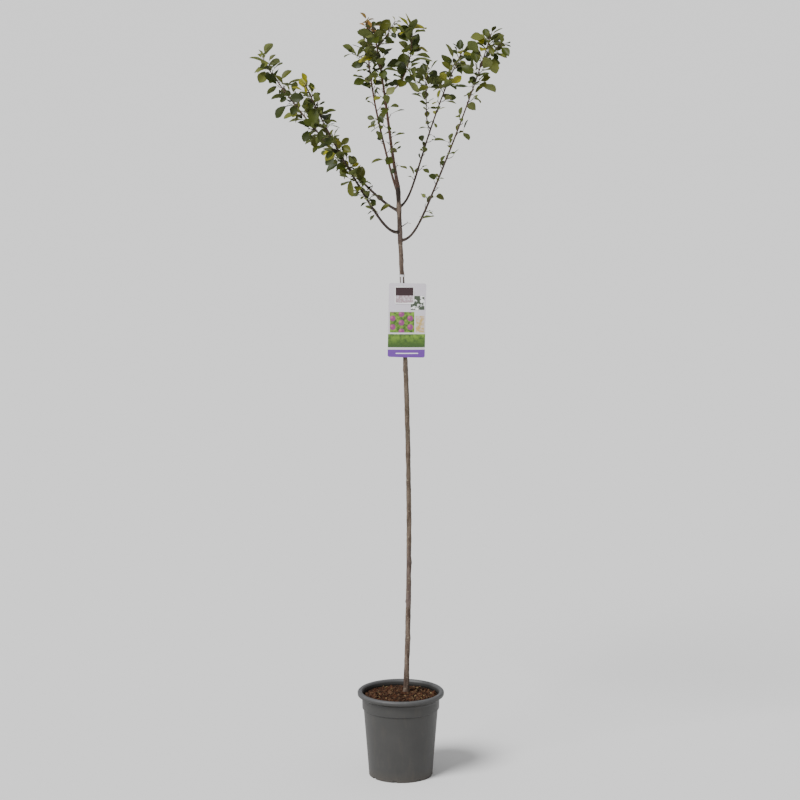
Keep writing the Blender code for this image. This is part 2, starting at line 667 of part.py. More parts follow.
def make_label():
    """The hanging label: a stiff card that loops round the trunk by its own strap, and the small
    card in front of it."""
    card_finish = material("label_card", (0.35, 0.36, 0.42), 0.35)
    middle = trunk_point(STRAP_HEIGHT)
    inner = float(trunk_radius(STRAP_HEIGHT)) + CLEAR
    turns = 2 * pi * np.arange(STRAP_SIDES) / STRAP_SIDES
    shape = bmesh.new()
    rings = []
    for radius, level in (
        (inner, -STRAP_WIDE / 2), (inner + STRAP_THICK, -STRAP_WIDE / 2),
        (inner + STRAP_THICK, STRAP_WIDE / 2), (inner, STRAP_WIDE / 2),
    ):
        stretch = radius / cos(pi / STRAP_SIDES)
        centre = middle + np.array([0, 0, level])
        rings.append([shape.verts.new(centre + stretch * np.array([cos(a), sin(a), 0])) for a in turns])
    for k in range(4):
        near, far = rings[k], rings[(k + 1) % 4]
        for i in range(STRAP_SIDES):
            j = (i + 1) % STRAP_SIDES
            shape.faces.new((near[i], near[j], far[j], far[i]))
    bmesh.ops.recalc_face_normals(shape, faces=shape.faces)
    mesh = bpy.data.meshes.new("hang_label")
    shape.to_mesh(mesh)
    shape.free()
    label = place("hang_label", mesh, card_finish)
    pieces = bpy.data.collections.new("label_pieces")
    bpy.context.scene.collection.children.link(pieces)
    tail_back = middle[1] - inner - STRAP_THICK / 2
    tail = [
        (middle[0], tail_back, STRAP_HEIGHT),
        (middle[0], tail_back - 0.0012, STRAP_HEIGHT - 0.008),
        (middle[0], LABEL_FACE + LABEL_THICK / 2, LABEL_TOP - 0.004),
    ]
    place("tail", strip("tail", tail, STRAP_WIDE, STRAP_THICK), None, pieces)
    card_spot = (LABEL_MIDDLE, LABEL_FACE + LABEL_THICK / 2, (LABEL_TOP + LABEL_BOTTOM) / 2)
    place("card", card("card", LABEL_WIDTH, LABEL_TOP - LABEL_BOTTOM, card_spot), None, pieces)
    joined(label, pieces)

    tag_spot = (TAG_MIDDLE, LABEL_FACE - LABEL_THICK / 2 - CLEAR, (TAG_TOP + TAG_BOTTOM) / 2)
    tag_finish = material("label_tag", (0.08, 0.03, 0.04), 0.35)
    place("label_tag", card("label_tag", TAG_WIDTH, TAG_TOP - TAG_BOTTOM, tag_spot), tag_finish)


def strip(name, points, width, thick):
    """A flat strip through points, level from side to side along X."""
    corners = []
    for x, y, z in points:
        for dx, dy in ((-1, -1), (1, -1), (1, 1), (-1, 1)):
            corners.append((x + dx * width / 2, y + dy * thick / 2, z))
    faces = [
        (i * 4 + k, i * 4 + (k + 1) % 4, (i + 1) * 4 + (k + 1) % 4, (i + 1) * 4 + k)
        for i in range(len(points) - 1)
        for k in range(4)
    ]
    faces.append(range(4))
    faces.append(range(len(corners) - 4, len(corners)))
    return mesh_of(name, corners, faces)


def card(name, width, height, spot):
    """A stiff upright card with rounded corners, turned a little about its middle."""
    rim = []
    lean_cos, lean_sin = cos(LABEL_LEAN), sin(LABEL_LEAN)
    for corner in range(4):
        for step in range(4):
            angle = pi / 2 * corner + pi / 6 * step
            x = (width / 2 - LABEL_CORNER) * (1 if corner in (0, 3) else -1) + LABEL_CORNER * cos(angle)
            z = (height / 2 - LABEL_CORNER) * (1 if corner in (0, 1) else -1) + LABEL_CORNER * sin(angle)
            rim.append((x * lean_cos - z * lean_sin, x * lean_sin + z * lean_cos))
    count = len(rim)
    corners = [
        (spot[0] + x, spot[1] + side * LABEL_THICK / 2, spot[2] + z) for side in (-1, 1) for x, z in rim
    ]
    faces = [(i, (i + 1) % count, count + (i + 1) % count, count + i) for i in range(count)]
    faces.append(range(count))
    faces.append(range(count, 2 * count))
    return mesh_of(name, corners, faces)


def main():
    clear_scene()
    make_pot()
    make_soil()
    lines = limb_lines()
    around = make_wood(lines)
    leaf_green = material("leaf", (0.05, 0.10, 0.015), 0.5)
    for limb in LIMBS:
        if limb.parent != "trunk":
            continue
        mass = make_mass(limb, lines, leaf_green)
        if not limb.bare:
            cut(mass, around)
    make_label()


main()
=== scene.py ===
import json
from collections import namedtuple
from functools import partialmethod
from math import cos, pi, radians, sin

import bpy
import numpy as np
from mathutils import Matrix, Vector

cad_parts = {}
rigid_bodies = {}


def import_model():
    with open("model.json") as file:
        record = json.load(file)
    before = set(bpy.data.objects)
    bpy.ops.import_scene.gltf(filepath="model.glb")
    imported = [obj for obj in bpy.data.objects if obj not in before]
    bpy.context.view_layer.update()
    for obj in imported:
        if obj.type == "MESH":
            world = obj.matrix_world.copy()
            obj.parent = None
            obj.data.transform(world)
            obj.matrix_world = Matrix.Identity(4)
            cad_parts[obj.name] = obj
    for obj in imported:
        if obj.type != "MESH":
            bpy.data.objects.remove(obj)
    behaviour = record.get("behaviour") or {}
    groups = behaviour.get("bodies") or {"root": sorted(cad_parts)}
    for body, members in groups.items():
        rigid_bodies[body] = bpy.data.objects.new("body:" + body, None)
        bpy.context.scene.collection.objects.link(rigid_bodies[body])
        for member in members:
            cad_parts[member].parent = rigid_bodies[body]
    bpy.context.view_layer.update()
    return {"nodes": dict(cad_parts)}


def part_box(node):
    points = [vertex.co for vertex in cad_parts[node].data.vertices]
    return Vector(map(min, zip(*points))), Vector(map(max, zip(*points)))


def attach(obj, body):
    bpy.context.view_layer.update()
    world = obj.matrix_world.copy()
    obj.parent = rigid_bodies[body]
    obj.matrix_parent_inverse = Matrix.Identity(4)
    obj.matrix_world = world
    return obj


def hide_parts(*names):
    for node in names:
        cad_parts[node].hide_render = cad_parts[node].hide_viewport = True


# The looks of a young plum tree, grown on a clear stem in a nursery pot. Metres, +Z up, +X to the
# right and +Y away. Its sections follow the tree from the pot up, and the studio comes last.
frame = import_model()


# The pot
# A thin nursery pot, moulded in one piece of grey plastic. It has a rolled rim to carry it by, a
# collar that stiffens the wall, and a foot ring whose notches and holes let the water out.

pot_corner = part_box("pot")[1]
POT_HEIGHT = pot_corner.z
RIM_RADIUS = pot_corner.x
POT_WALL = 0.0022
RIM_DROP = 0.0145
NECK_RADIUS = 0.1182
NECK_DROP = 0.020
COLLAR_RADIUS = 0.1165
COLLAR_BOTTOM = 0.209
SHOULDER_RADIUS = 0.1125
FOOT_RADIUS = 0.0965
FOOT_WIDTH = 0.008
FOOT_HEIGHT = 0.005
BOSS_RADIUS = 0.038
FLOOR_TOP = 0.0075
HOLE_COUNT = 8
HOLE_RADIUS = 0.007
HOLE_CIRCLE = 0.064
HOLE_TURNS = 24
NOTCH_WIDTH = 0.012
NOTCH_HEIGHT = 0.0045
NOTCH_TURN = radians(259.6)
POT_TURNS = 240
POT_EASE = 0.0016
AXIS_GAP = 0.0008

PLASTIC_DARK = (0.036, 0.0355, 0.034)
PLASTIC_LIGHT = (0.054, 0.0525, 0.050)
PLASTIC_DUST = (0.11, 0.090, 0.068)
DUST_HEIGHT = 0.035
# The rim top's painted highlight
PLASTIC_LIP_HIGHLIGHT = (0.125, 0.128, 0.134)
# Painted shade under the rim and under the collar's step
PLASTIC_SHADE = (0.010, 0.009, 0.008)


class Reading:
    """A number that changes over a surface: a node's output, on which + - * / % and ** add nodes."""

    def __init__(self, finish, socket):
        self.finish = finish
        self.socket = socket

    def worked(self, operation, other=0.0, clamped=False):
        settings = {"operation": operation, "use_clamp": clamped}
        return self.finish.node("ShaderNodeMath", settings, {0: self, 1: other})

    __add__ = __radd__ = partialmethod(worked, "ADD")
    __sub__ = partialmethod(worked, "SUBTRACT")
    __mul__ = __rmul__ = partialmethod(worked, "MULTIPLY")
    __truediv__ = partialmethod(worked, "DIVIDE")
    __mod__ = partialmethod(worked, "MODULO")
    __pow__ = partialmethod(worked, "POWER")
    floor = partialmethod(worked, "FLOOR")
    clamp = partialmethod(worked, "ADD", clamped=True)

    def __rsub__(self, other):
        return self.finish.node("ShaderNodeMath", {"operation": "SUBTRACT"}, {0: other, 1: self})

    def over(self, level, width):
        """0 below level and 1 above it, over a ramp of this width."""
        return ((self - level) / width + 0.5).clamp()


class Finish:
    """A material: one Principled shader of a gloss and a roughness, and the nodes that feed it."""

    def __init__(self, name, gloss=0.5, rough=0.5):
        self.material = bpy.data.materials.new(name)
        self.material.use_nodes = True
        self.tree = self.material.node_tree
        self.shader = self.tree.nodes["Principled BSDF"]
        self.shader.inputs["Specular IOR Level"].default_value = gloss
        self.shader.inputs["Roughness"].default_value = rough

    def node(self, kind, settings, inputs, output=0):
        """One node: its settings first, then the values or links of its sockets."""
        made = self.tree.nodes.new(kind)
        for name, value in settings.items():
            setattr(made, name, value)
        for socket, value in inputs.items():
            if isinstance(value, Reading):
                self.tree.links.new(value.socket, made.inputs[socket])
            else:
                made.inputs[socket].default_value = value
        return Reading(self, made.outputs[output])

    def place(self, stretch=(1, 1, 1), shift=(0, 0, 0)):
        """The object's own coordinates, stretched and shifted."""
        coordinates = self.node("ShaderNodeTexCoord", {}, {}, output=3)
        inputs = {"Vector": coordinates, "Location": shift, "Scale": stretch}
        return self.node("ShaderNodeMapping", {}, inputs)

    def part(self, axis, place=None):
        """One of the three numbers of a place."""
        return self.node("ShaderNodeSeparateXYZ", {}, {0: place or self.place()}, output="XYZ".index(axis))

    def noise(self, scale, detail=2.0, stretch=(1, 1, 1)):
        """Cloudy noise from 0 to 1, scale cells to a metre."""
        inputs = {"Vector": self.place(stretch), "Scale": scale, "Detail": detail}
        return self.node("ShaderNodeTexNoise", {}, inputs)

    def kept(self, name):
        """A number that the mesh keeps at its points."""
        settings = {"attribute_name": name}
        return self.node("ShaderNodeAttribute", settings, {}, output=2)

    def mix(self, share, first, second):
        """A colour between two: the first at share 0 and the second at 1. The node's colours go in
        at its sockets 6 and 7, and come out at 2."""
        first, second = [c if isinstance(c, Reading) else (*c, 1.0) for c in (first, second)]
        inputs = {0: share, 6: first, 7: second}
        return self.node("ShaderNodeMix", {"data_type": "RGBA"}, inputs, output=2)

    def coats(self, ground, *coats):
        """A ground colour under coats, each (how much of it shows, its colour)."""
        for share, colour in coats:
            ground = self.mix(share, ground, colour)
        return ground

    def bump(self, height, depth, strength=1.0):
        """A Normal that leans as if the surface rose by height times depth."""
        return self.node("ShaderNodeBump", {}, {"Height": height, "Distance": depth, "Strength": strength})

    def feed(self, **sockets):
        """Links readings into the shader: Base_Color for Base Color, and so on."""
        for name, value in sockets.items():
            self.tree.links.new(value.socket, self.shader.inputs[name.replace("_", " ")])
        return self.material


def level_way(angle):
    """The level direction at an angle from +X: (cos a, sin a, 0)."""
    return np.stack([np.cos(angle), np.sin(angle), 0 * angle], axis=-1)


def turned(profile, turns):
    """A surface of revolution: the profile's point (radius, height) at turn t is at
    (radius cos t, radius sin t, height). Rings by turns by xyz."""
    angle = 2 * pi * np.arange(turns) / turns
    radius, height = np.asarray(profile, float).T[:, :, None]
    return np.stack([radius * np.cos(angle), radius * np.sin(angle), height + 0 * angle], axis=-1)


def eased(corners, reach, steps=5):
    """A line with its corners rounded: near corner B it runs (1-t)(1-t)P + 2t(1-t)B + ttQ, where P
    and Q lie reach before and after B, or less on a short side."""
    corners = np.asarray(corners, float)
    back = corners[:-2] - corners[1:-1]
    on = corners[2:] - corners[1:-1]
    near = np.linalg.norm(back, axis=1, keepdims=True)
    far = np.linalg.norm(on, axis=1, keepdims=True)
    start = corners[1:-1] + back / near * np.minimum(reach, 0.45 * near)
    end = corners[1:-1] + on / far * np.minimum(reach, 0.45 * far)
    t = np.linspace(0, 1, steps)[None, :, None]
    curve = (1 - t) ** 2 * start[:, None] + 2 * t * (1 - t) * corners[1:-1, None] + t ** 2 * end[:, None]
    return np.vstack([corners[:1], curve.reshape(-1, corners.shape[1]), corners[-1:]])


def shown(name, points, faces, finishes, slots=None, sharp=50):
    """An object at the origin from points and faces, shaded smooth where it bends little."""
    mesh = bpy.data.meshes.new(name)
    mesh.from_pydata(points, [], faces)
    for finish in finishes:
        mesh.materials.append(finish)
    if slots is not None:
        mesh.polygons.foreach_set("material_index", np.asarray(slots, np.int32))
    mesh.shade_smooth()
    mesh.set_sharp_from_angle(angle=radians(sharp))
    piece = bpy.data.objects.new(name, mesh)
    bpy.context.scene.collection.objects.link(piece)
    return piece


def ring_faces(rings, sides):
    """The faces of a closed tube of rings by sides: corner (i, k) joins (i, k+1), (i+1, k+1) and
    (i+1, k), and a flat face closes each end."""
    ring, side = np.meshgrid(np.arange(rings - 1), np.arange(sides), indexing="ij")
    after = (side + 1) % sides
    quads = np.stack([ring * sides + side, ring * sides + after,
                      (ring + 1) * sides + after, (ring + 1) * sides + side], axis=-1)
    ends = np.stack([np.arange(sides)[::-1], np.arange((rings - 1) * sides, rings * sides)])
    return [quads.reshape(-1, 4), ends]


def skin(name, grid, finish, sharp=50):
    """An object whose mesh lies over a grid of rings by sides by xyz."""
    faces = [face for kind in ring_faces(*grid.shape[:2]) for face in kind.tolist()]
    return shown(name, grid.reshape(-1, 3), faces, [finish], sharp=sharp)


def pot_inner_radius(height):
    """The radius inside the pot's wall: straight from foot to shoulder, and from there to the neck."""
    radii = [FOOT_RADIUS, SHOULDER_RADIUS, NECK_RADIUS + 0.0006]
    return float(np.interp(height, [0.0, COLLAR_BOTTOM, POT_HEIGHT], radii)) - POT_WALL


def pot_profile():
    """The pot's section, from the middle of its underside up the outside and down the inside."""
    neck = POT_HEIGHT - NECK_DROP
    inside = pot_inner_radius(neck)
    return [
        (AXIS_GAP, 0.0),
        (BOSS_RADIUS, 0.0),
        (BOSS_RADIUS + 0.002, FOOT_HEIGHT),
        (FOOT_RADIUS - FOOT_WIDTH - 0.002, FOOT_HEIGHT),
        (FOOT_RADIUS - FOOT_WIDTH, 0.0),
        (FOOT_RADIUS, 0.0),
        (FOOT_RADIUS + 0.0006, 0.012),
        (SHOULDER_RADIUS, COLLAR_BOTTOM - 0.002),
        (COLLAR_RADIUS, COLLAR_BOTTOM),
        (COLLAR_RADIUS + 0.0006, neck - 0.006),
        (NECK_RADIUS, neck),
        (RIM_RADIUS - 0.005, POT_HEIGHT - RIM_DROP),
        (RIM_RADIUS - 0.0004, POT_HEIGHT - RIM_DROP + 0.002),
        (RIM_RADIUS, POT_HEIGHT - 0.004),
        (RIM_RADIUS - 0.004, POT_HEIGHT),
        (inside + 0.004, POT_HEIGHT - 0.001),
        (inside + 0.001, POT_HEIGHT - 0.006),
        (inside, neck),
        (pot_inner_radius(COLLAR_BOTTOM), COLLAR_BOTTOM),
        (pot_inner_radius(FLOOR_TOP), FLOOR_TOP),
        (AXIS_GAP, FLOOR_TOP),
    ]


def notched(grid):
    """The pot's grid with its foot ring raised to NOTCH_HEIGHT near each notch's heading."""
    angle = np.arctan2(grid[..., 1], grid[..., 0]) - NOTCH_TURN
    pitch = 2 * pi / HOLE_COUNT
    off = np.abs((angle + pitch / 2) % pitch - pitch / 2) * FOOT_RADIUS
    foot = np.hypot(grid[..., 0], grid[..., 1]) > FOOT_RADIUS - FOOT_WIDTH - 0.003
    cleared = foot & (off < NOTCH_WIDTH / 2) & (grid[..., 2] < NOTCH_HEIGHT)
    grid[..., 2] = np.where(cleared, NOTCH_HEIGHT, grid[..., 2])
    return grid


def swarm(name, points, faces, finishes, slots=None, sharp=50):
    """An object of many like shapes: points is shapes by corners by xyz, and faces lists arrays of
    one shape's faces, which are numbered on for each shape."""
    count, corners = points.shape[:2]
    first = corners * np.arange(count)[:, None, None]
    listed = []
    for kind in faces:
        listed += (kind + first).reshape(-1, kind.shape[1]).tolist()
    return shown(name, points.reshape(-1, 3), listed, finishes, slots, sharp)


def drilled(piece):
    """Cuts the drain holes through the pot's floor."""
    wall = turned([(HOLE_RADIUS, -FLOOR_TOP), (HOLE_RADIUS, 2 * FLOOR_TOP)], HOLE_TURNS)
    angle = NOTCH_TURN + 2 * pi * np.arange(HOLE_COUNT) / HOLE_COUNT
    centres = HOLE_CIRCLE * level_way(angle)
    drills = swarm("drills", wall.reshape(-1, 3) + centres[:, None], ring_faces(2, HOLE_TURNS), [])
    step = piece.modifiers.new("drain", "BOOLEAN")
    step.operation = "DIFFERENCE"
    step.solver = "EXACT"
    step.object = drills
    graph = bpy.context.evaluated_depsgraph_get()
    piece.data = bpy.data.meshes.new_from_object(piece.evaluated_get(graph), depsgraph=graph)
    piece.modifiers.clear()
    bpy.data.objects.remove(drills, do_unlink=True)


def between(reading, low, high, soft=0.004):
    """1 where a reading lies between two levels."""
    return reading.over(low, soft) * (1 - reading.over(high, soft))


def pot_plastic():
    """Grey polypropylene with a fine moulded grain, cloudy scuffs and dust low on the wall. Its rim's
    top is lighter, a painted highlight, and the recess under the rim and the collar's step are
    darker, painted shade.
    """
    finish = Finish("pot plastic", 0.4)
    cloud = finish.noise(14, 4)
    scuff = finish.noise(60, 5, stretch=(1, 1, 0.25)).over(0.62, 0.16)
    grain = finish.noise(1400, 2)
    height = finish.part("Z")
    dust = ((1 - height / DUST_HEIGHT).clamp() * finish.noise(45, 4) * 0.9).clamp()
    # Painted highlight: the rim's top is lighter, a little more where it is scuffed.
    lip_highlight = height.over(POT_HEIGHT - 0.005, 0.008) * (0.55 + scuff * 0.3)
    # Painted shade: a dark band in the recess under the rolled rim, and a thin dark line under the
    # collar's step.
    throat_shade = between(height, POT_HEIGHT - NECK_DROP - 0.001, POT_HEIGHT - RIM_DROP + 0.001, 0.003) * 0.85
    step = between(height, COLLAR_BOTTOM - 0.0035, COLLAR_BOTTOM - 0.0005, 0.002) * 0.65
    return finish.feed(
        Base_Color=finish.coats(
            PLASTIC_DARK,
            (cloud.over(0.5, 0.7), PLASTIC_LIGHT),
            (lip_highlight, PLASTIC_LIP_HIGHLIGHT),
            ((throat_shade + step).clamp(), PLASTIC_SHADE),
            (dust * 0.6 + scuff * 0.10, PLASTIC_DUST),
        ),
        Roughness=0.44 + cloud * 0.14 + dust * 0.2,
        Normal=finish.bump(grain * 0.5 + scuff * 0.3, 0.00025, 0.6),
    )


pot = skin("pot_wall", notched(turned(eased(pot_profile(), POT_EASE), POT_TURNS)), pot_plastic(), sharp=40)
drilled(pot)
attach(pot, "root")
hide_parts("pot")


# The compost
# Moist, red-brown bark compost fills the pot to two fingers under the rim, heaped a little round
# the stem. Chips of bark in four browns lie on its top, loose and at all angles.

SOIL_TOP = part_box("soil")[1].z
SOIL_EDGE = 0.2435
SOIL_FLAT = 0.045
SOIL_WALL_GAP = 0.0006
SOIL_LOW = FLOOR_TOP + 0.0003
SOIL_TURNS = 180
SOIL_RINGS = 56
SOIL_LUMPS = 0.0016
SOIL_CALM = 0.02
CHIP_BED = 0.0012
STEM_FOOT = (0.0163, 0.022)
STEM_ROOM = 0.0115
CHIP_REACH = 0.1085
CHIP_LENGTH = (0.0035, 0.0125)
CHIP_WIDTH = (0.3, 0.7)
CHIP_THICK = (0.12, 0.3)
CHIP_LIFT = 0.0022
CHIP_SLOPE = 0.55
CHIP_JITTER = 0.30
CHIP_SEED = 11
CHIP_KINDS = (
    ("dark", 1300, (0.018, 0.008, 0.004), (0.048, 0.022, 0.011)),
    ("red", 900, (0.052, 0.018, 0.008), (0.110, 0.042, 0.018)),
    ("brown", 600, (0.070, 0.036, 0.018), (0.140, 0.080, 0.042)),
    ("straw", 100, (0.20, 0.140, 0.060), (0.32, 0.24, 0.115)),
)
EARTH_DARK = (0.012, 0.007, 0.004)
EARTH_RED = (0.048, 0.021, 0.012)


def ripple(around, along, cells, seed):
    """Smooth noise from -1 to 1 over two parameters from 0 to 1, the first closed on itself: random
    heights on a grid of cells, blended between neighbours by t t (3 - 2 t)."""
    heights = np.random.default_rng(seed).uniform(-1, 1, (cells[0], cells[1] + 2))
    u = around % 1 * cells[0]
    v = np.clip(along, 0, 1) * cells[1]
    i = np.floor(u).astype(int) % cells[0]
    j = np.floor(v).astype(int)
    s = u - np.floor(u)
    t = v - j
    s = s * s * (3 - 2 * s)
    t = t * t * (3 - 2 * t)
    near = heights[i, j] * (1 - t) + heights[i, j + 1] * t
    far = heights[(i + 1) % cells[0], j] * (1 - t) + heights[(i + 1) % cells[0], j + 1] * t
    return near * (1 - s) + far * s


def ramp(values, level, width):
    """0 up to level and 1 from level plus width on."""
    return np.clip((values - level) / width, 0, 1)


def grid_shares(rings, sides):
    """Over a grid of rings by sides, the share of the way along and the share of a turn."""
    return np.meshgrid(np.linspace(0, 1, rings), np.arange(sides) / sides, indexing="ij")


def soil_height(radius):
    """The compost's level: flat round the stem, then falling to its edge by the way's power 1.5."""
    share = ramp(radius, SOIL_FLAT, CHIP_REACH - SOIL_FLAT)
    return SOIL_TOP + (SOIL_EDGE - SOIL_TOP) * share ** 1.5 - CHIP_BED


def soil_bed():
    """The compost: its side follows the pot's inside, and its top is lumpy."""
    edge = pot_inner_radius(SOIL_EDGE) - SOIL_WALL_GAP
    side = [
        (AXIS_GAP, SOIL_LOW),
        (pot_inner_radius(SOIL_LOW) - SOIL_WALL_GAP, SOIL_LOW),
        (pot_inner_radius(COLLAR_BOTTOM) - SOIL_WALL_GAP, COLLAR_BOTTOM),
    ]
    radii = np.linspace(edge, AXIS_GAP, SOIL_RINGS)
    top = np.stack([radii, soil_height(radii)], axis=-1)
    grid = turned(np.vstack([side, top]), SOIL_TURNS)
    along, around = grid_shares(len(grid), SOIL_TURNS)
    lumps = ripple(around, along, (46, 34), 3) + 0.6 * ripple(around, along, (110, 80), 4)
    calm = ramp(np.hypot(grid[..., 0], grid[..., 1]), 0, SOIL_CALM) * (along > len(side) / len(grid))
    grid[..., 2] += SOIL_LUMPS * lumps * calm
    return grid


def swung(first, second, angle):
    """The first direction swung towards the second by an angle: first cos a + second sin a."""
    return first * np.cos(angle)[..., None] + second * np.sin(angle)[..., None]


def chips(count, rng):
    """Bark chips: bricks with jogged corners, turned any way about +Z and tipped a little, laid on
    the compost's top. Chips by eight corners by xyz."""
    unit_corners = np.array([(x, y, z) for z in (-1, 1) for x, y in ((-1, -1), (1, -1), (1, 1), (-1, 1))])
    length = rng.uniform(*CHIP_LENGTH, count) * rng.uniform(0.5, 1, count)
    shape = [0 * length + 1, rng.uniform(*CHIP_WIDTH, count), rng.uniform(*CHIP_THICK, count)]
    size = length[:, None] * np.stack(shape, -1)
    corners = (unit_corners + rng.uniform(-CHIP_JITTER, CHIP_JITTER, (count, 8, 3))) * size[:, None] / 2
    heading = rng.uniform(0, 2 * pi, count)
    tip = rng.normal(0, CHIP_SLOPE, count)
    roll = rng.normal(0, CHIP_SLOPE, count)
    along = swung(level_way(heading), np.array([0.0, 0.0, 1.0]), tip)
    level = np.stack([-np.sin(heading), np.cos(heading), 0 * heading], -1)
    side = swung(level, np.cross(along, level), roll)
    axes = np.stack([along, side, np.cross(along, side)], axis=1)
    radius = CHIP_REACH * np.sqrt(rng.random(count))
    bearing = rng.uniform(0, 2 * pi, count)
    spot = np.stack([radius * np.cos(bearing), radius * np.sin(bearing)], -1)
    off = spot - STEM_FOOT
    away = np.linalg.norm(off, axis=1, keepdims=True)
    spot = STEM_FOOT + off * np.maximum(away, STEM_ROOM) / away
    height = soil_height(np.hypot(*spot.T)) + rng.uniform(0.0, CHIP_LIFT, count)
    return np.einsum("nci,nij->ncj", corners, axes) + np.column_stack([spot, height])[:, None]


def bark_chip(name, dark, light):
    """Torn bark: two browns in streaks, rough and dry on top."""
    finish = Finish(name, 0.25)
    streak = finish.noise(420, 3, stretch=(1, 0.4, 1))
    speck = finish.noise(1500, 2)
    return finish.feed(
        Base_Color=finish.mix(streak.over(0.5, 0.4), dark, light),
        Roughness=0.72 + speck * 0.25,
        Normal=finish.bump(speck, 0.0005, 0.8),
    )


def earth():
    """Fine crumbs between the chips, nearly black in the hollows."""
    finish = Finish("fine compost", 0.2)
    crumb = finish.noise(260, 5)
    return finish.feed(
        Base_Color=finish.mix(crumb.over(0.52, 0.3), EARTH_DARK, EARTH_RED),
        Roughness=0.8 + crumb * 0.15,
        Normal=finish.bump(crumb, 0.0015, 1.0),
    )


bed = skin("compost_bed", soil_bed(), earth())
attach(bed, "root")
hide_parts("soil")

BRICK = np.array([(3, 2, 1, 0), (4, 5, 6, 7), (0, 1, 5, 4), (1, 2, 6, 5), (2, 3, 7, 6), (3, 0, 4, 7)])
chip_rng = np.random.default_rng(CHIP_SEED)
for kind, count, dark, light in CHIP_KINDS:
    torn = bark_chip("bark chip " + kind, dark, light)
    layer = swarm("chips_" + kind, chips(count, chip_rng), [BRICK], [torn], sharp=25)
    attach(layer, "root")


# The trunk
# One clear stem, raised from a graft and kept free of side shoots: it leans a little, bows half
# way up, and tapers to the fork. Its young bark is grey-brown, with pale pores that lie across it,
# knobs where shoots were cut off, and a dark, sunken scar just under the fork.

TRUNK_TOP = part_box("trunk")[1].z
FORK_HEIGHT = 1.788
TRUNK_LEAN = -0.0245
TRUNK_BOW = 0.0170
TRUNK_WAVE = 0.0018
TRUNK_RADIUS = 0.0080
FORK_RADIUS = 0.0064
FLARE = 0.0034
FLARE_HEIGHT = 0.016
FLARE_RIDGES = 0.0011
BRANCH_COLLAR = 0.0010
BRANCH_COLLAR_HEIGHT = 0.010
TRUNK_SUNK = 0.003
TRUNK_SIDES = 64
TRUNK_RINGS = 1350
WAVES = ((3, 46, 0.00062), (6, 130, 0.00040), (20, 480, 0.00016))
PORE_CELLS = (11, 760)
PORE_LEVEL = 0.66
PORE_SOFT = 0.12
PORE_RISE = 0.00030
KNOB_LONG = 1.5
DIMPLE = 0.45
DIMPLE_NARROW = 9
SCAR_MIDDLE = 1.766
SCAR_HALF = 0.024
SCAR_HEADING = radians(262)
SCAR_DEPTH = 0.0008
SCAR_WIDTH = 1.25
SCAR_REACH = 1.15
SCAR_STEEP = 3
SCAR_RAGS = (9, 260)
SCAR_RAGGED = 0.25

# Knobs: height, heading in degrees, radius of the swelling and how far it stands out
KNOBS = (
    (1.569, 352, 0.0040, 0.0018), (1.468, 205, 0.0030, 0.0010), (1.243, 215, 0.0042, 0.0016),
    (1.212, 20, 0.0036, 0.0012), (1.087, 240, 0.0036, 0.0010), (0.985, 165, 0.0040, 0.0012),
    (0.872, 300, 0.0034, 0.0010), (0.742, 190, 0.0038, 0.0011), (0.655, 10, 0.0042, 0.0014),
    (0.534, 182, 0.0024, 0.0019), (0.470, 200, 0.0050, 0.0010), (0.419, 345, 0.0050, 0.0015),
    (0.352, 170, 0.0040, 0.0009), (0.300, 20, 0.0045, 0.0010),
)

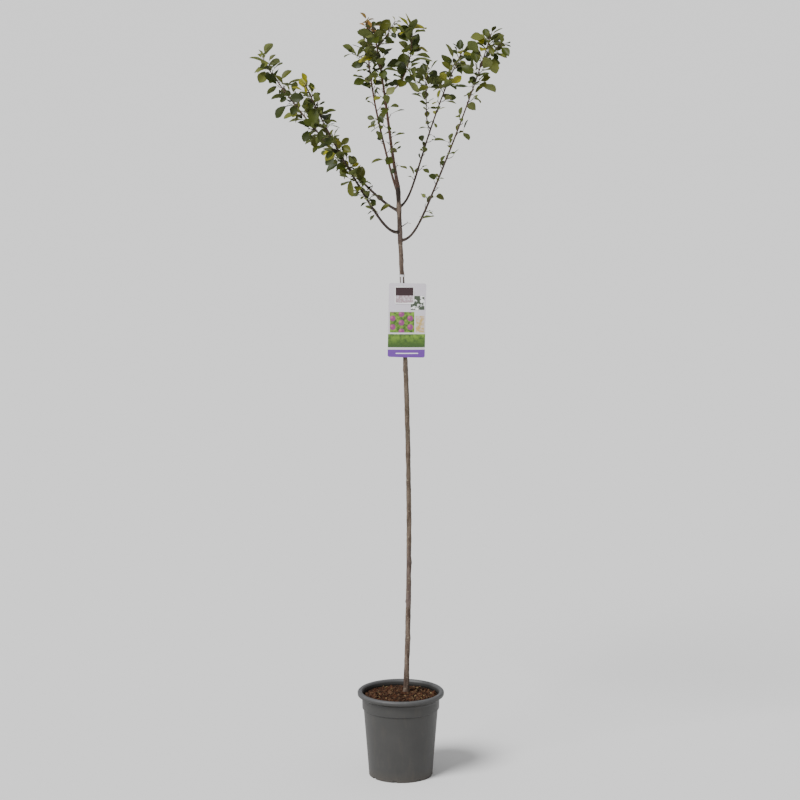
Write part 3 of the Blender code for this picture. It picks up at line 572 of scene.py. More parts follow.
# Each limb: the limb it leaves and where (a height on the trunk, a share of another limb), the way
# it heads, its rise at the start and past the length turn, the nod added by the tip, its length,
# its radii, the share that is bare, the share where leaves thicken, the gaps between spurs before
# and after that, the length of a spur and of a leaf, and the seed of its draws.
Limb = namedtuple(
    "Limb",
    "name parent at heading rise tip_rise turn nod length base_radius tip_radius"
    " bare dense gaps spur leaf seed",
)
LIMBS = (
    Limb("left_low", "trunk", 1.656, 210, -18, 55.5, 0.030, 8.6, 0.551,
         0.0042, 0.0016, 0.17, 0.30, (0.019, 0.0135), 0.014, 0.045, 36),
    Limb("left_high", "trunk", 1.717, 145, 13.7, 38.8, 0.056, 10.5, 0.662,
         0.0040, 0.0015, 0.14, 0.38, (0.025, 0.0135), 0.014, 0.045, 32),
    Limb("leader_left", "trunk", 1.773, 135, 43.9, 68.3, 0.016, 23.2, 0.512,
         0.0036, 0.0018, 0.12, 0.62, (0.026, 0.0120), 0.014, 0.045, 78),
    Limb("leader_right", "trunk", 1.788, 235, 70.8, 80.4, 0.102, -9.7, 0.481,
         0.0052, 0.0018, 0.10, 0.66, (0.030, 0.0125), 0.014, 0.047, 70),
    Limb("right_inner", "trunk", 1.729, 48, 3.6, 66.8, 0.035, -16.1, 0.531,
         0.0034, 0.0014, 0.18, 0.68, (0.036, 0.0120), 0.012, 0.047, 13),
    Limb("right_outer", "trunk", 1.631, 325, -4.7, 64.0, 0.036, 5.9, 0.691,
         0.0036, 0.0014, 0.12, 0.72, (0.042, 0.0110), 0.014, 0.048, 66),
    Limb("leader_shoot", "leader_right", 0.59, 315, 8.6, 157.8, 0.250, -8.1, 0.245,
         0.0020, 0.0010, 0.22, 0.30, (0.020, 0.0130), 0.008, 0.054, 16),
    Limb("leader_top", "leader_right", 0.88, 330, 28.8, 56.3, 0.015, 0, 0.095,
         0.0014, 0.0008, 0.15, 0.20, (0.016, 0.0100), 0.006, 0.034, 57),
    Limb("leader_twig", "leader_left", 0.79, 200, 0, 24.9, 0.015, 0, 0.050,
         0.0014, 0.0008, 0.30, 0.30, (0.014, 0.0100), 0.006, 0.048, 30),
    Limb("inner_side", "right_inner", 0.51, 120, -44, 86, 0.015, 18.7, 0.190,
         0.0018, 0.0010, 0.15, 0.55, (0.030, 0.0100), 0.010, 0.043, 49),
    Limb("outer_tip", "right_outer", 0.89, 350, 41.7, 43.6, 0.250, 0, 0.075,
         0.0014, 0.0008, 0.20, 0.20, (0.012, 0.0100), 0.008, 0.046, 25),
    Limb("outer_fork", "right_outer", 0.90, 40, 17.9, 58, 0.015, 0, 0.060,
         0.0014, 0.0008, 0.20, 0.20, (0.012, 0.0100), 0.008, 0.046, 23),
    Limb("trunk_spur", "trunk", 1.668, 335, 25, 35, 0.010, 0, 0.024,
         0.0014, 0.0010, 0.0, 0.90, (0.030, 0.0300), 0.006, 0.026, 3),
)

BARK_GREY = (0.165, 0.122, 0.094)
BARK_BROWN = (0.062, 0.040, 0.029)
BARK_GREEN = (0.105, 0.092, 0.052)
BARK_VIOLET = (0.135, 0.100, 0.100)
PORE_PALE = (0.27, 0.225, 0.165)
SCAR_DARK = (0.026, 0.018, 0.014)


def unit(vectors):
    """Vectors made one long."""
    return vectors / np.linalg.norm(vectors, axis=-1, keepdims=True)


def trunk_point(height):
    """The trunk's middle: a straight lean, plus a bow sin(pi s) and a wave sin(2 pi s), where s is
    the share of the way from the compost to the fork."""
    share = (np.asarray(height, float) - SOIL_TOP) / (FORK_HEIGHT - SOIL_TOP)
    bow = TRUNK_BOW * np.sin(pi * share) + TRUNK_WAVE * np.sin(2 * pi * share)
    x = STEM_FOOT[0] + TRUNK_LEAN * share + bow
    return np.stack([x, STEM_FOOT[1] * (1 - share), height + 0 * share], -1)


def trunk_radius(height):
    """The trunk's radius: an even taper, a flare that dies away above the foot, and a collar at
    each bough."""
    share = (height - SOIL_TOP) / (FORK_HEIGHT - SOIL_TOP)
    radius = TRUNK_RADIUS + (FORK_RADIUS - TRUNK_RADIUS) * share
    radius = radius + FLARE * np.exp(-np.abs(height - SOIL_TOP) / FLARE_HEIGHT)
    for limb in LIMBS:
        if limb.parent == "trunk" and limb.bare and limb.name != "leader_right":
            radius = radius + BRANCH_COLLAR * np.exp(-(((height - limb.at) / BRANCH_COLLAR_HEIGHT) ** 2))
    return radius


def turn_from(heading, turn):
    """How far a turn is from a heading, from -pi to pi."""
    return (turn - heading + pi) % (2 * pi) - pi


def knob_rise(turn, height):
    """How far the knobs and their rims stand out: for each, depth times exp(-d d), where d is the
    way over the bark from its middle in units of its radius, less a dimple at its heart."""
    rise = 0 * height
    for level, heading, reach, depth in KNOBS:
        off = turn_from(radians(heading), turn)
        d2 = ((height - level) / (KNOB_LONG * reach)) ** 2 + (off * TRUNK_RADIUS / reach) ** 2
        rise = rise + depth * (np.exp(-d2) - DIMPLE * np.exp(-DIMPLE_NARROW * d2))
    return rise


def trunk_skin():
    """The trunk's grid and the marks its bark keeps. The radius is the plain taper plus three sizes
    of noise, pores that lie across, knobs, ridges on the flare, less the scar."""
    height = np.linspace(SOIL_TOP - TRUNK_SUNK, TRUNK_TOP, TRUNK_RINGS)
    share, around = grid_shares(TRUNK_RINGS, TRUNK_SIDES)
    turn = 2 * pi * around
    level = height[:, None] + 0 * around
    rise = knob_rise(turn, level)
    for seed, (cells, rows, depth) in enumerate(WAVES):
        rise = rise + depth * ripple(around, share, (cells, rows), seed)
    pore = ramp(ripple(around, share, PORE_CELLS, 9), PORE_LEVEL, PORE_SOFT)
    foot = np.exp(-np.abs(level - SOIL_TOP) / FLARE_HEIGHT)
    rise = rise + PORE_RISE * pore + FLARE_RIDGES * foot * np.sin(5 * turn + 0.8)
    off = turn_from(SCAR_HEADING, turn)
    edge = SCAR_RAGGED * ripple(around, share, SCAR_RAGS, 21)
    away = ((level - SCAR_MIDDLE) / SCAR_HALF) ** 2 + (off / SCAR_WIDTH) ** 2
    scar = np.clip(SCAR_STEEP * (SCAR_REACH - away + edge), 0, 1)
    radii = trunk_radius(height)[:, None] + rise - SCAR_DEPTH * scar
    grid = trunk_point(height)[:, None] + radii[..., None] * level_way(turn)
    return grid, {"pore": pore, "scar": scar}


def marked(piece, marks):
    """Keeps each mark's numbers at the mesh's points."""
    for name, values in marks.items():
        layer = piece.data.attributes.new(name, "FLOAT", "POINT")
        layer.data.foreach_set("value", np.ascontiguousarray(values, np.float32).ravel())


def trunk_bark():
    """Young bark: grey and brown in long streaks, greener half way up, pale pores, a dark scar."""
    finish = Finish("stem bark", 0.3)
    streak = finish.noise(130, 4, stretch=(1, 1, 0.14))
    patch = finish.noise(16, 3)
    blotch = finish.noise(75, 3, stretch=(1, 1, 0.5))
    fine = finish.noise(700, 3, stretch=(1, 1, 0.5))
    height = finish.part("Z")
    green = (1 - ((height - 1.05) / 0.42) ** 2).clamp() * patch.over(0.45, 0.35) * 0.4
    return finish.feed(
        Base_Color=finish.coats(
            BARK_BROWN,
            (streak.over(0.48, 0.28), BARK_GREY),
            (blotch.over(0.60, 0.12) * 0.65, BARK_BROWN),
            (patch.over(0.56, 0.12) * 0.35, BARK_VIOLET),
            (green, BARK_GREEN),
            (fine.over(0.66, 0.1) * 0.35, BARK_BROWN),
            (finish.kept("pore") * 0.75, PORE_PALE),
            (finish.kept("scar"), SCAR_DARK),
        ),
        Roughness=0.66 + fine * 0.25,
        Normal=finish.bump(fine + streak * 0.6, 0.0006, 0.8),
    )


stem_grid, stem_marks = trunk_skin()
stem = skin("stem", stem_grid, trunk_bark(), sharp=180)
marked(stem, stem_marks)
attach(stem, "root")
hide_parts("trunk")


# The boughs
# Six limbs grow on from the stem, each with its bare foot and the leading shoot that goes on from
# it, and some with side shoots. The wood is of one or two years: dark brown, redder and smoother
# towards the tips, swollen a little wherever a spur stands.

STEP = 0.006
FINE_STEP = 0.0015
GOLDEN = radians(137.5)
BOUGH_SIDES = 18
BOUGH_WAVES = ((3, 40, 0.045), (6, 150, 0.035))
FOOT_SWELL = 0.45
FOOT_SWELL_WAY = 0.011
NODE_SWELL = 0.12
NODE_WAY = 0.0022
BOUGH_PORES = (7, 260)
BOUGH_PORE_LEVEL = 0.62
BOUGH_PORE_SOFT = 0.15
BOUGH_TIP = 0.3
SPUR_SHIFT = 0.3
THICK_SPAN = 0.14
TWIG_DARK = (0.020, 0.013, 0.010)
TWIG_BROWN = (0.058, 0.036, 0.026)
TWIG_RED = (0.095, 0.036, 0.019)
LEADER_TINT = 0.55


def limb_line(start, limb, step):
    """Points about step apart from start. The heading stays, and the rise at way w is
    tip_rise + (rise - tip_rise) exp(-w / turn) + nod (w / length)^2."""
    count = int(round(limb.length / step)) + 1
    way = np.linspace(0, limb.length, count)
    rise = limb.tip_rise + (limb.rise - limb.tip_rise) * np.exp(-way / limb.turn)
    rise = np.radians(rise + limb.nod * (way / limb.length) ** 2)
    heading = radians(limb.heading)
    level = np.cos(rise)
    course = np.stack([level * cos(heading), level * sin(heading), np.sin(rise)], axis=-1)
    hops = (course[1:] + course[:-1]) / 2 * (way[1] - way[0])
    return start + np.vstack([np.zeros(3), np.cumsum(hops, axis=0)])


def limb_lines(step):
    """The middle line of every limb, by name, with a point each step."""
    lines = {}
    for limb in LIMBS:
        if limb.parent == "trunk":
            start = trunk_point(limb.at)
        else:
            parent = lines[limb.parent]
            start = parent[int(round(limb.at * (len(parent) - 1)))]
        lines[limb.name] = limb_line(start, limb, step)
    return lines


def at_way(line, length, way):
    """The points and courses of a line at these ways from its start."""
    ways = np.linspace(0, length, len(line))
    course = np.gradient(line, axis=0)
    point = np.stack([np.interp(way, ways, line[:, k]) for k in range(3)], axis=-1)
    course = np.stack([np.interp(way, ways, course[:, k]) for k in range(3)], axis=-1)
    return point, unit(course)


def limb_radius(limb, way):
    """A limb's radius at a way: an even taper from its base to its tip."""
    return limb.base_radius + (limb.tip_radius - limb.base_radius) * np.asarray(way) / limb.length


def thickening(share, limb):
    """0 where the leaves are few, 1 where they stand thick."""
    return np.clip((share - limb.dense) / THICK_SPAN + 0.5, 0, 1)


def spur_ways(limb, rng):
    """How far along the limb each spur stands: gaps that narrow where the leaves thicken, each spur
    moved a little by a draw, and the last one at the tip. Also each spur's share of the length."""
    ways = []
    way = limb.bare * limb.length + SPUR_SHIFT * limb.gaps[0]
    while way < limb.length - 0.004:
        ways.append(way)
        way += limb.gaps[0] + (limb.gaps[1] - limb.gaps[0]) * thickening(way / limb.length, limb)
    ways = np.array(ways + [limb.length - 0.002])
    share = ways / limb.length
    shift = rng.uniform(-SPUR_SHIFT, SPUR_SHIFT, len(ways) - 1) * limb.gaps[1]
    return ways + np.append(shift, 0), share


def family(limb):
    """The name of the limb that stands on the trunk and carries this one."""
    return limb.name if limb.parent == "trunk" else limb.parent


def pipe(points, radii):
    """A tube's grid: at each point of the path a ring square to the way, from a side that is carried
    along. The radii are rings by sides."""
    course = unit(np.gradient(points, axis=0))
    side = unit(np.cross(np.cross(course, [1.0, 0.0, 0.02]), course))
    other = np.cross(course, side)
    turn = 2 * pi * np.arange(radii.shape[1]) / radii.shape[1]
    return points[:, None] + swung(side[:, None], other[:, None], turn) * radii[..., None]


def bough_skin(limb, line, seed):
    """A limb's grid and marks. Its radius is the taper, swollen at the foot by exp(-w / swell) and at
    each spur by exp(-d d), with two sizes of noise. The right leader carries on the trunk."""
    leader = limb.name == "leader_right"
    way = np.linspace(0, limb.length, len(line))
    foot = FORK_RADIUS - limb.base_radius if leader else FOOT_SWELL * limb.base_radius
    swell_way = 3 * FOOT_SWELL_WAY if leader else FOOT_SWELL_WAY
    past = way if leader else np.maximum(way - FORK_RADIUS, 0)
    radius = limb_radius(limb, way) + foot * np.exp(-past / swell_way)
    nodes, _ = spur_ways(limb, np.random.default_rng(limb.seed))
    near = ((way[:, None] - nodes) / NODE_WAY) ** 2
    radius = radius * (1 + NODE_SWELL * np.exp(-near).sum(axis=1))
    _, around = grid_shares(len(line), BOUGH_SIDES)
    along = (way / limb.length)[:, None] + 0 * around
    rough = 0 * along
    for cells, rows, depth in BOUGH_WAVES:
        rough = rough + depth * ripple(around, along, (cells, rows), seed + rows)
    radii = radius[:, None] * (1 + rough)
    radii[-1] *= BOUGH_TIP
    pore = ramp(ripple(around, along, BOUGH_PORES, seed + 7), BOUGH_PORE_LEVEL, BOUGH_PORE_SOFT)
    young = np.clip(0.15 + 0.95 * along, 0, 1) * (family(limb) != "trunk_spur")
    red = 0 * along + family(limb).startswith("leader")
    return pipe(line, radii), {"pore": pore, "young": young, "leader": red}


def bough_bark():
    """The bark of young wood: dark brown, warmer on the leaders, red-brown to the tips."""
    finish = Finish("bough bark", 0.35)
    patch = finish.noise(70, 3)
    fine = finish.noise(900, 2)
    red = (finish.kept("young") ** 2 * 0.55 + finish.kept("leader") * LEADER_TINT).clamp()
    return finish.feed(
        Base_Color=finish.coats(
            TWIG_DARK,
            (patch.over(0.5, 0.5), TWIG_BROWN),
            (red * (0.5 + patch * 0.6), TWIG_RED),
            (finish.kept("pore") * 0.45, PORE_PALE),
        ),
        Roughness=0.48 + fine * 0.25,
        Normal=finish.bump(fine + patch * 0.4, 0.0004, 0.7),
    )


lines = limb_lines(STEP)
fine_lines = limb_lines(FINE_STEP)
wood_bark = bough_bark()
for seed, limb in enumerate(LIMBS):
    grid, marks = bough_skin(limb, fine_lines[limb.name], 40 * seed)
    bough = skin("bough_wood_" + limb.name, grid, wood_bark, sharp=180)
    marked(bough, marks)
    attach(bough, "root")
    if limb.parent == "trunk" and limb.bare:
        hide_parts("bough_" + limb.name)


# The spurs
# Short side twigs stand round each limb, a golden angle apart, and each bears a rosette of leaves
# near its tip. Between them stand finer ones, with smaller leaves. All are of this year's wood.

MOST_LEAVES = 5
SPUR_TURN = 0.25
SPUR_LEAN = (56, 8)
SPUR_LIFT = 0.15
SPUR_SPAN = (0.5, 1.5)
TIP_SPUR = 0.006
TIP_LEAN = 0.1
TIP_SPREAD = 0.7
LEAVES_FEW = 2.2
LEAVES_MORE = 2.8
FAN_TURN = 0.3
LEAF_SPREAD = (22, 78)
LEAF_DROOP = 0.25
LEAF_SPAN = (0.75, 1.25)
LEAF_SIZE = (0.82, 0.28)
LEAF_FALL = 0.07
LEAF_PITCH = 0.003
TIP_LEAF = 0.62
LEAF_ROLL = 0.7
LEAVES_APART = 0.0055
SIBLINGS_APART = radians(38)
BLADE_OFF_WOOD = 0.004
LEAF_CLEAR = 0.003
WOOD_CLEAR = 0.0065
TRUNK_CLEAR = 0.011
CROWN_FOOT = 1.5
FINE_SEED = 500
FINE_LEAF = 0.66
FINE_GAPS = 0.85
FINE_APART = 0.0035
SPUR_ROOT = 0.00125
SPUR_END = 0.00085
SPUR_KNUCKLE = 0.45
SPUR_KNUCKLE_AT = (0.86, 0.12)
SPUR_HEEL = 0.25
SPUR_HEEL_WAY = 0.1
SPUR_BUD = 0.35
SPUR_SIDES = 7
SPUR_RINGS = 7
SPUR_SAG = 0.10
SPUR_GREEN = (0.060, 0.055, 0.016)


def across(course):
    """Two directions square to each course, the first nearly level."""
    level = unit(np.cross(course, np.array([0.13, 0.07, 1.0])))
    return level, np.cross(level, course)


def grow(limb, line):
    """The limb's spurs and leaves. Spurs follow each other at the golden angle, and a rosette of
    leaves spreads from each spur's tip. The last spur is the limb's own tip."""
    rng = np.random.default_rng(limb.seed)
    ways, share = spur_ways(limb, rng)
    n = len(ways)
    root, course = at_way(line, limb.length, ways)
    side, back = across(course)
    angle = rng.uniform(0, 2 * pi) + GOLDEN * np.arange(n) + rng.normal(0, SPUR_TURN, n)
    lean = np.radians(rng.normal(*SPUR_LEAN, n))
    lean[-1] = TIP_LEAN
    spur_course = unit(swung(course, swung(side, back, angle), lean) + [0, 0, SPUR_LIFT])
    spur_length = limb.spur * rng.uniform(*SPUR_SPAN, n)
    spur_length[-1] = TIP_SPUR
    tip = root + spur_course * spur_length[:, None]

    thick = thickening(share, limb)
    count = np.floor(1 + LEAVES_FEW * rng.random(n) + thick * LEAVES_MORE * rng.random(n)).astype(int)
    count[-1] = MOST_LEAVES
    j = np.arange(MOST_LEAVES)
    phi = rng.uniform(0, 2 * pi, n)[:, None] + GOLDEN * j + rng.normal(0, FAN_TURN, (n, MOST_LEAVES))
    spread = np.radians(rng.uniform(*LEAF_SPREAD, (n, MOST_LEAVES)))
    spread[-1] *= TIP_SPREAD
    u, v = across(spur_course)
    fan = swung(u[:, None], v[:, None], phi)
    leaf_course = unit(swung(spur_course[:, None], fan, spread) + np.array([0, 0, -LEAF_DROOP]))
    size = limb.leaf * rng.uniform(*LEAF_SPAN, (n, MOST_LEAVES))
    size = size * (LEAF_SIZE[0] + LEAF_SIZE[1] * thick[:, None]) * (1 - LEAF_FALL * j)
    size[-1] *= TIP_LEAF
    roll = rng.normal(0, LEAF_ROLL, (n, MOST_LEAVES))
    leaf_side = unit(np.cross(leaf_course, np.array([0.05, 0.02, 1.0])))
    face = swung(np.cross(leaf_side, leaf_course), leaf_side, roll)
    back_by = np.minimum(LEAF_PITCH, spur_length / MOST_LEAVES)[:, None] * (j + 0.4)
    leaf_root = tip[:, None] - spur_course[:, None] * back_by[..., None]
    kept = j < count[:, None]
    leaves = {
        "spur": np.nonzero(kept)[0],
        "root": leaf_root[kept],
        "course": leaf_course[kept],
        "face": face[kept],
        "length": size[kept],
        "share": (share[:, None] + 0 * size)[kept],
    }
    return {"root": root, "tip": tip, "radius": limb_radius(limb, np.clip(ways, 0, limb.length))}, leaves


# Points of a blade, each as shares of its length along it and to its side: its border, and rows
# of three over it
OUTLINE = np.array([
    (0.15, 0.0), (0.27, 0.18), (0.66, 0.29), (1.0, 0.0), (0.66, -0.29), (0.27, -0.18), (0.5, 0.0),
])
BLADE = np.array([
    (along, half * side)
    for along, half in ((0.30, 0.14), (0.47, 0.20), (0.64, 0.22), (0.81, 0.16), (0.98, 0.03))
    for side in (-1, 0, 1)
])


def blade_points(leaves, spots):
    """Points of each blade: its root plus along times its course and wide times its side, where each
    spot is (along, wide) in leaf lengths."""
    along, wide = spots.T[:, :, None]
    side = np.cross(leaves["course"], leaves["face"])
    reach = leaves["course"][:, None] * along + side[:, None] * wide
    return leaves["root"][:, None] + reach * leaves["length"][:, None, None]


def nearest(points, line):
    """How far each of points (n, m, 3) is from a line's nearest point."""
    return np.linalg.norm(points[:, :, None] - line[None, None], axis=-1).min(axis=2)


def kin(limb, same=True):
    """The lines of the limbs of this one's family, or of all the others."""
    return [lines[other.name] for other in LIMBS if (family(other) == family(limb)) == same]


def in_own_space(limb, points):
    """True where all of a leaf's points are nearer to its own stem than to any other limb, and
    clear of the trunk and of the bare bough below."""
    own = [nearest(points, line) for line in kin(limb)]
    others = [nearest(points, line) for line in kin(limb, same=False)]
    trunk = nearest(points, trunk_point(np.linspace(CROWN_FOOT, FORK_HEIGHT, 49)))
    main = next(other for other in LIMBS if other.name == family(limb))
    bare = lines[main.name][: int(main.bare * len(lines[main.name])) + 1]
    inside = np.min(own, axis=0) + LEAF_CLEAR < np.min(others, axis=0)
    inside &= trunk > TRUNK_CLEAR
    if main.bare:
        inside &= nearest(points, bare) > WOOD_CLEAR
    return inside.all(axis=1)


def standing_apart(leaves, inside, wood, taken, apart):
    """The leaves to keep, in their order: those inside their space that cross neither the wood nor
    a leaf already taken, and that part from the kept leaves of their own spur."""
    blades = blade_points(leaves, BLADE)
    inside = inside & (nearest(blades, wood) > BLADE_OFF_WOOD).all(axis=1)
    kept = []
    for index in np.flatnonzero(inside):
        standing = np.concatenate([taken, blades[kept]])
        gaps = np.linalg.norm(standing[:, None] - blades[index][:, None], axis=-1)
        siblings = [other for other in kept if leaves["spur"][other] == leaves["spur"][index]]
        alike = leaves["course"][siblings] @ leaves["course"][index] > cos(SIBLINGS_APART)
        if gaps.min(initial=1.0) > apart and not alike.any():
            kept.append(index)
    return np.array(kept, int)


def finer(limb):
    """The same limb with the finer spurs that stand between the others, and their smaller leaves."""
    gaps = tuple(gap * FINE_GAPS for gap in limb.gaps)
    return limb._replace(seed=limb.seed + FINE_SEED, leaf=limb.leaf * FINE_LEAF, gaps=gaps)


def crown():
    """All spurs that bear leaves, and all leaves: first those of the limbs' own rule, then the finer
    ones, limb by limb, each kept where it has room."""
    blades = {family(limb): np.zeros((0, len(BLADE), 3)) for limb in LIMBS}
    sprays = []
    for plan, apart in ((lambda limb: limb, LEAVES_APART), (finer, FINE_APART)):
        for limb in LIMBS:
            name = family(limb)
            spurs, leaves = grow(plan(limb), lines[limb.name])
            inside = in_own_space(limb, blade_points(leaves, OUTLINE))
            kept = standing_apart(leaves, inside, np.concatenate(kin(limb)), blades[name], apart)
            leaves = {key: value[kept] for key, value in leaves.items()}
            blades[name] = np.concatenate([blades[name], blade_points(leaves, BLADE)])
            sprays.append((limb, spurs, leaves))
    return sprays


def tubes(middle, side, over, radius, sides):
    """Many thin tubes, tubes by corners by xyz: round each ring's middle its corners lie at
    radius (side cos t + over sin t)."""
    ring = swung(side[:, None], over[:, None], 2 * pi * np.arange(sides) / sides)
    grid = middle[:, :, None] + ring[:, None] * radius[..., None, None]
    return grid.reshape(len(middle), -1, 3)


def spur_skin(root, tip, base):
    """Spurs' points, spurs by corners by xyz: each runs from its root on a slight sag, and thickens
    into knuckles towards its tip."""
    s = np.linspace(0, 1, SPUR_RINGS)
    way = tip - root
    length = np.linalg.norm(way, axis=1)
    course = way / length[:, None]
    side, back = across(course)
    sag = -SPUR_SAG * length[:, None] * np.sin(pi * s)
    middle = root[:, None] + way[:, None] * s[:, None] + back[:, None] * sag[..., None]
    radius = SPUR_ROOT + (SPUR_END - SPUR_ROOT) * s
    knuckle = SPUR_KNUCKLE * np.exp(-((s - SPUR_KNUCKLE_AT[0]) / SPUR_KNUCKLE_AT[1]) ** 2)
    radius = radius * (1 + knuckle + SPUR_HEEL * np.exp(-s / SPUR_HEEL_WAY))
    radius[-1] *= SPUR_BUD
    radius = np.minimum(radius[None], base[:, None] * 0.95 + 0.0002)
    return tubes(middle, side, -back, radius, SPUR_SIDES)


def spur_bark():
    """The bark of this year's twigs: red-brown, greener where the leaves stand."""
    finish = Finish("spur bark", 0.35)
    patch = finish.noise(160, 3)
    fine = finish.noise(1200, 2)
    return finish.feed(
        Base_Color=finish.mix(patch.over(0.55, 0.35), TWIG_BROWN, SPUR_GREEN),
        Roughness=0.5 + fine * 0.2,
        Normal=finish.bump(fine, 0.0003, 0.6),
    )


sprays = crown()
bearing = [(spurs, sorted(set(leaves["spur"]))) for _, spurs, leaves in sprays]
spur_parts = [
    np.concatenate([spurs[key][used] for spurs, used in bearing if used])
    for key in ("root", "tip", "radius")
]
spur_faces = ring_faces(SPUR_RINGS, SPUR_SIDES)
twigs = swarm("spurs", spur_skin(*spur_parts), spur_faces, [spur_bark()], sharp=180)
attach(twigs, "root")


# The leaves
# Oval leaves on short stalks, widest past the middle, folded a little along the rib and bent down
# to the tip. They are dark and slightly waxy above and grey-green below. The youngest, at some
# shoots' tips, are bronze. The lime leaves, at some shoots' tips and in a few sprays, are painted
# sunlight shining through them.

BLADE_START = 0.20
BLADE_ROWS = np.array([0.0, 0.09, 0.26, 0.47, 0.68, 0.87, 1.0])
BLADE_COLUMNS = np.array([-1.0, -0.5, 0.0, 0.5, 1.0])
BLADE_HALF = 0.285
BLADE_BULGE = 1.22
BLADE_THICK = 0.00028
BLADE_FOOT = 0.006
BLADE_END = 0.012
LEAF_FOLD = (0.10, 0.55)
LEAF_BEND = (0.00, 0.20)
LEAF_WAVE = 0.030
LEAF_WIDTHS = (0.82, 1.08)
LEAF_SEED = 77
STALK_RADIUS = 0.00055
STALK_SIDES = 5
STALK_RINGS = 4

# Each kind: its colour above and below, and how often a spray has it
LEAF_KINDS = (
    ("deep", (0.025, 0.036, 0.0020), (0.085, 0.100, 0.026), 0.36),
    ("green", (0.044, 0.058, 0.0035), (0.100, 0.118, 0.032), 0.32),
    ("olive", (0.076, 0.084, 0.006), (0.125, 0.140, 0.040), 0.19),
    ("pale", (0.125, 0.140, 0.028), (0.170, 0.195, 0.065), 0.09),
    # The lime kind is painted light: the colour of sunlight shining through a leaf.
    ("sun_through_lime", (0.240, 0.230, 0.010), (0.270, 0.280, 0.040), 0.04),
    ("bronze", (0.330, 0.185, 0.042), (0.330, 0.225, 0.075), 0.00),
)
# Tip leaves: bronze and pale are young growth, and lime is painted sunlight shining through them.
YOUNG_AND_SUN_THROUGH_TIPS = {"left_low": "sun_through_lime", "leader_left": "bronze", "left_high": "pale", "leader_top": "sun_through_lime",
              "leader_shoot": "sun_through_lime"}
YOUNG_AND_SUN_THROUGH_SHARE = 0.93
STALK_GREEN = (0.090, 0.105, 0.020)
STALK_RED = (0.100, 0.040, 0.018)


def blade_faces():
    """The faces of one leaf: a grid above, and a grid below that shares its border."""
    rows, columns = len(BLADE_ROWS), len(BLADE_COLUMNS)
    above = np.arange(rows * columns).reshape(rows, columns)
    below = above.copy()
    inner = below[1:-1, 1:-1]
    inner[:] = rows * columns + np.arange(inner.size).reshape(inner.shape)
    top = np.stack([above[:-1, :-1], above[1:, :-1], above[1:, 1:], above[:-1, 1:]], -1).reshape(-1, 4)
    under = np.stack([below[:-1, :-1], below[:-1, 1:], below[1:, 1:], below[1:, :-1]], -1).reshape(-1, 4)
    return [np.concatenate([top, under])]


def leaf_skin(leaves, rng):
    """Leaves' points, leaves by corners by xyz. Over s from 0 at the blade's foot to 1 at its tip the
    half width is sin(pi s^bulge)^0.75, the rib bends down by s s, the sides rise by the fold, and the
    border waves."""
    n = len(leaves["length"])
    s = BLADE_ROWS[None, :, None]
    u = BLADE_COLUMNS[None, None, :]
    fold = rng.uniform(*LEAF_FOLD, n)[:, None, None]
    bend = rng.uniform(*LEAF_BEND, n)[:, None, None]
    width = rng.uniform(*LEAF_WIDTHS, n)[:, None, None]
    phase = rng.uniform(0, 2 * pi, n)[:, None, None]
    half = BLADE_HALF * width * np.maximum(np.sin(pi * s ** BLADE_BULGE), 0) ** 0.75 + BLADE_END * (s > 0)
    half = half + BLADE_FOOT * (s == 0)
    along = BLADE_START + (1 - BLADE_START) * s - 0.06 * bend * s + 0 * u * fold
    side = u * half * np.cos(fold)
    wave = LEAF_WAVE * np.sin(2.2 * pi * s + phase + 1.3 * u) * np.abs(u) * np.sin(pi * s)
    rise = np.abs(u) * half * np.sin(fold) - bend * s ** 2 + wave
    frame_side = np.cross(leaves["course"], leaves["face"])
    parts = ((along, leaves["course"]), (side, frame_side), (rise, leaves["face"]))
    reach = sum(part[..., None] * way[:, None, None] for part, way in parts)
    above = leaves["root"][:, None, None] + reach * leaves["length"][:, None, None, None]
    below = (above - BLADE_THICK * leaves["face"][:, None, None])[:, 1:-1, 1:-1]
    return np.concatenate([above.reshape(n, -1, 3), below.reshape(n, -1, 3)], axis=1)


def stalk_skin(leaves):
    """Stalks' points, stalks by corners by xyz: each a tube from the spur to the blade's foot and a
    little on under the rib."""
    s = np.linspace(0, 1, STALK_RINGS)
    reach = (BLADE_START + 0.05) * leaves["length"]
    side = np.cross(leaves["course"], leaves["face"])
    dip = -0.06 * np.sin(pi * s)[None] * reach[:, None] - 0.5 * STALK_RADIUS * s[None]
    middle = leaves["root"][:, None] + leaves["course"][:, None] * (reach[:, None] * s)[..., None]
    middle = middle + leaves["face"][:, None] * dip[..., None]
    radius = STALK_RADIUS * np.array([[1.25, 0.9, 0.85, 0.5]])
    return tubes(middle, -side, leaves["face"], radius, STALK_SIDES)


def leaf_skin_finish(name, colour, waxy):
    """A leaf's skin in one colour, a little lighter and darker in clouds, with soft ribs between the
    veins, and waxy above."""
    finish = Finish(name, 0.30 if waxy else 0.15)
    cloud = finish.noise(38, 3)
    vein = finish.noise(520, 2)
    dark = tuple(0.80 * c for c in colour)
    light = tuple(1.22 * c for c in colour)
    return finish.feed(
        Base_Color=finish.mix(cloud.over(0.5, 0.6), dark, light),
        Roughness=(0.40 if waxy else 0.68) + vein * 0.16,
        Normal=finish.bump(vein, 0.0005, 0.5),
    )


def stalk_skin_finish():
    """The stalks' skin: green, red in cloudy patches."""
    finish = Finish("leaf stalk")
    return finish.feed(Base_Color=finish.mix(finish.noise(90, 2).over(0.5, 0.3), STALK_GREEN, STALK_RED))


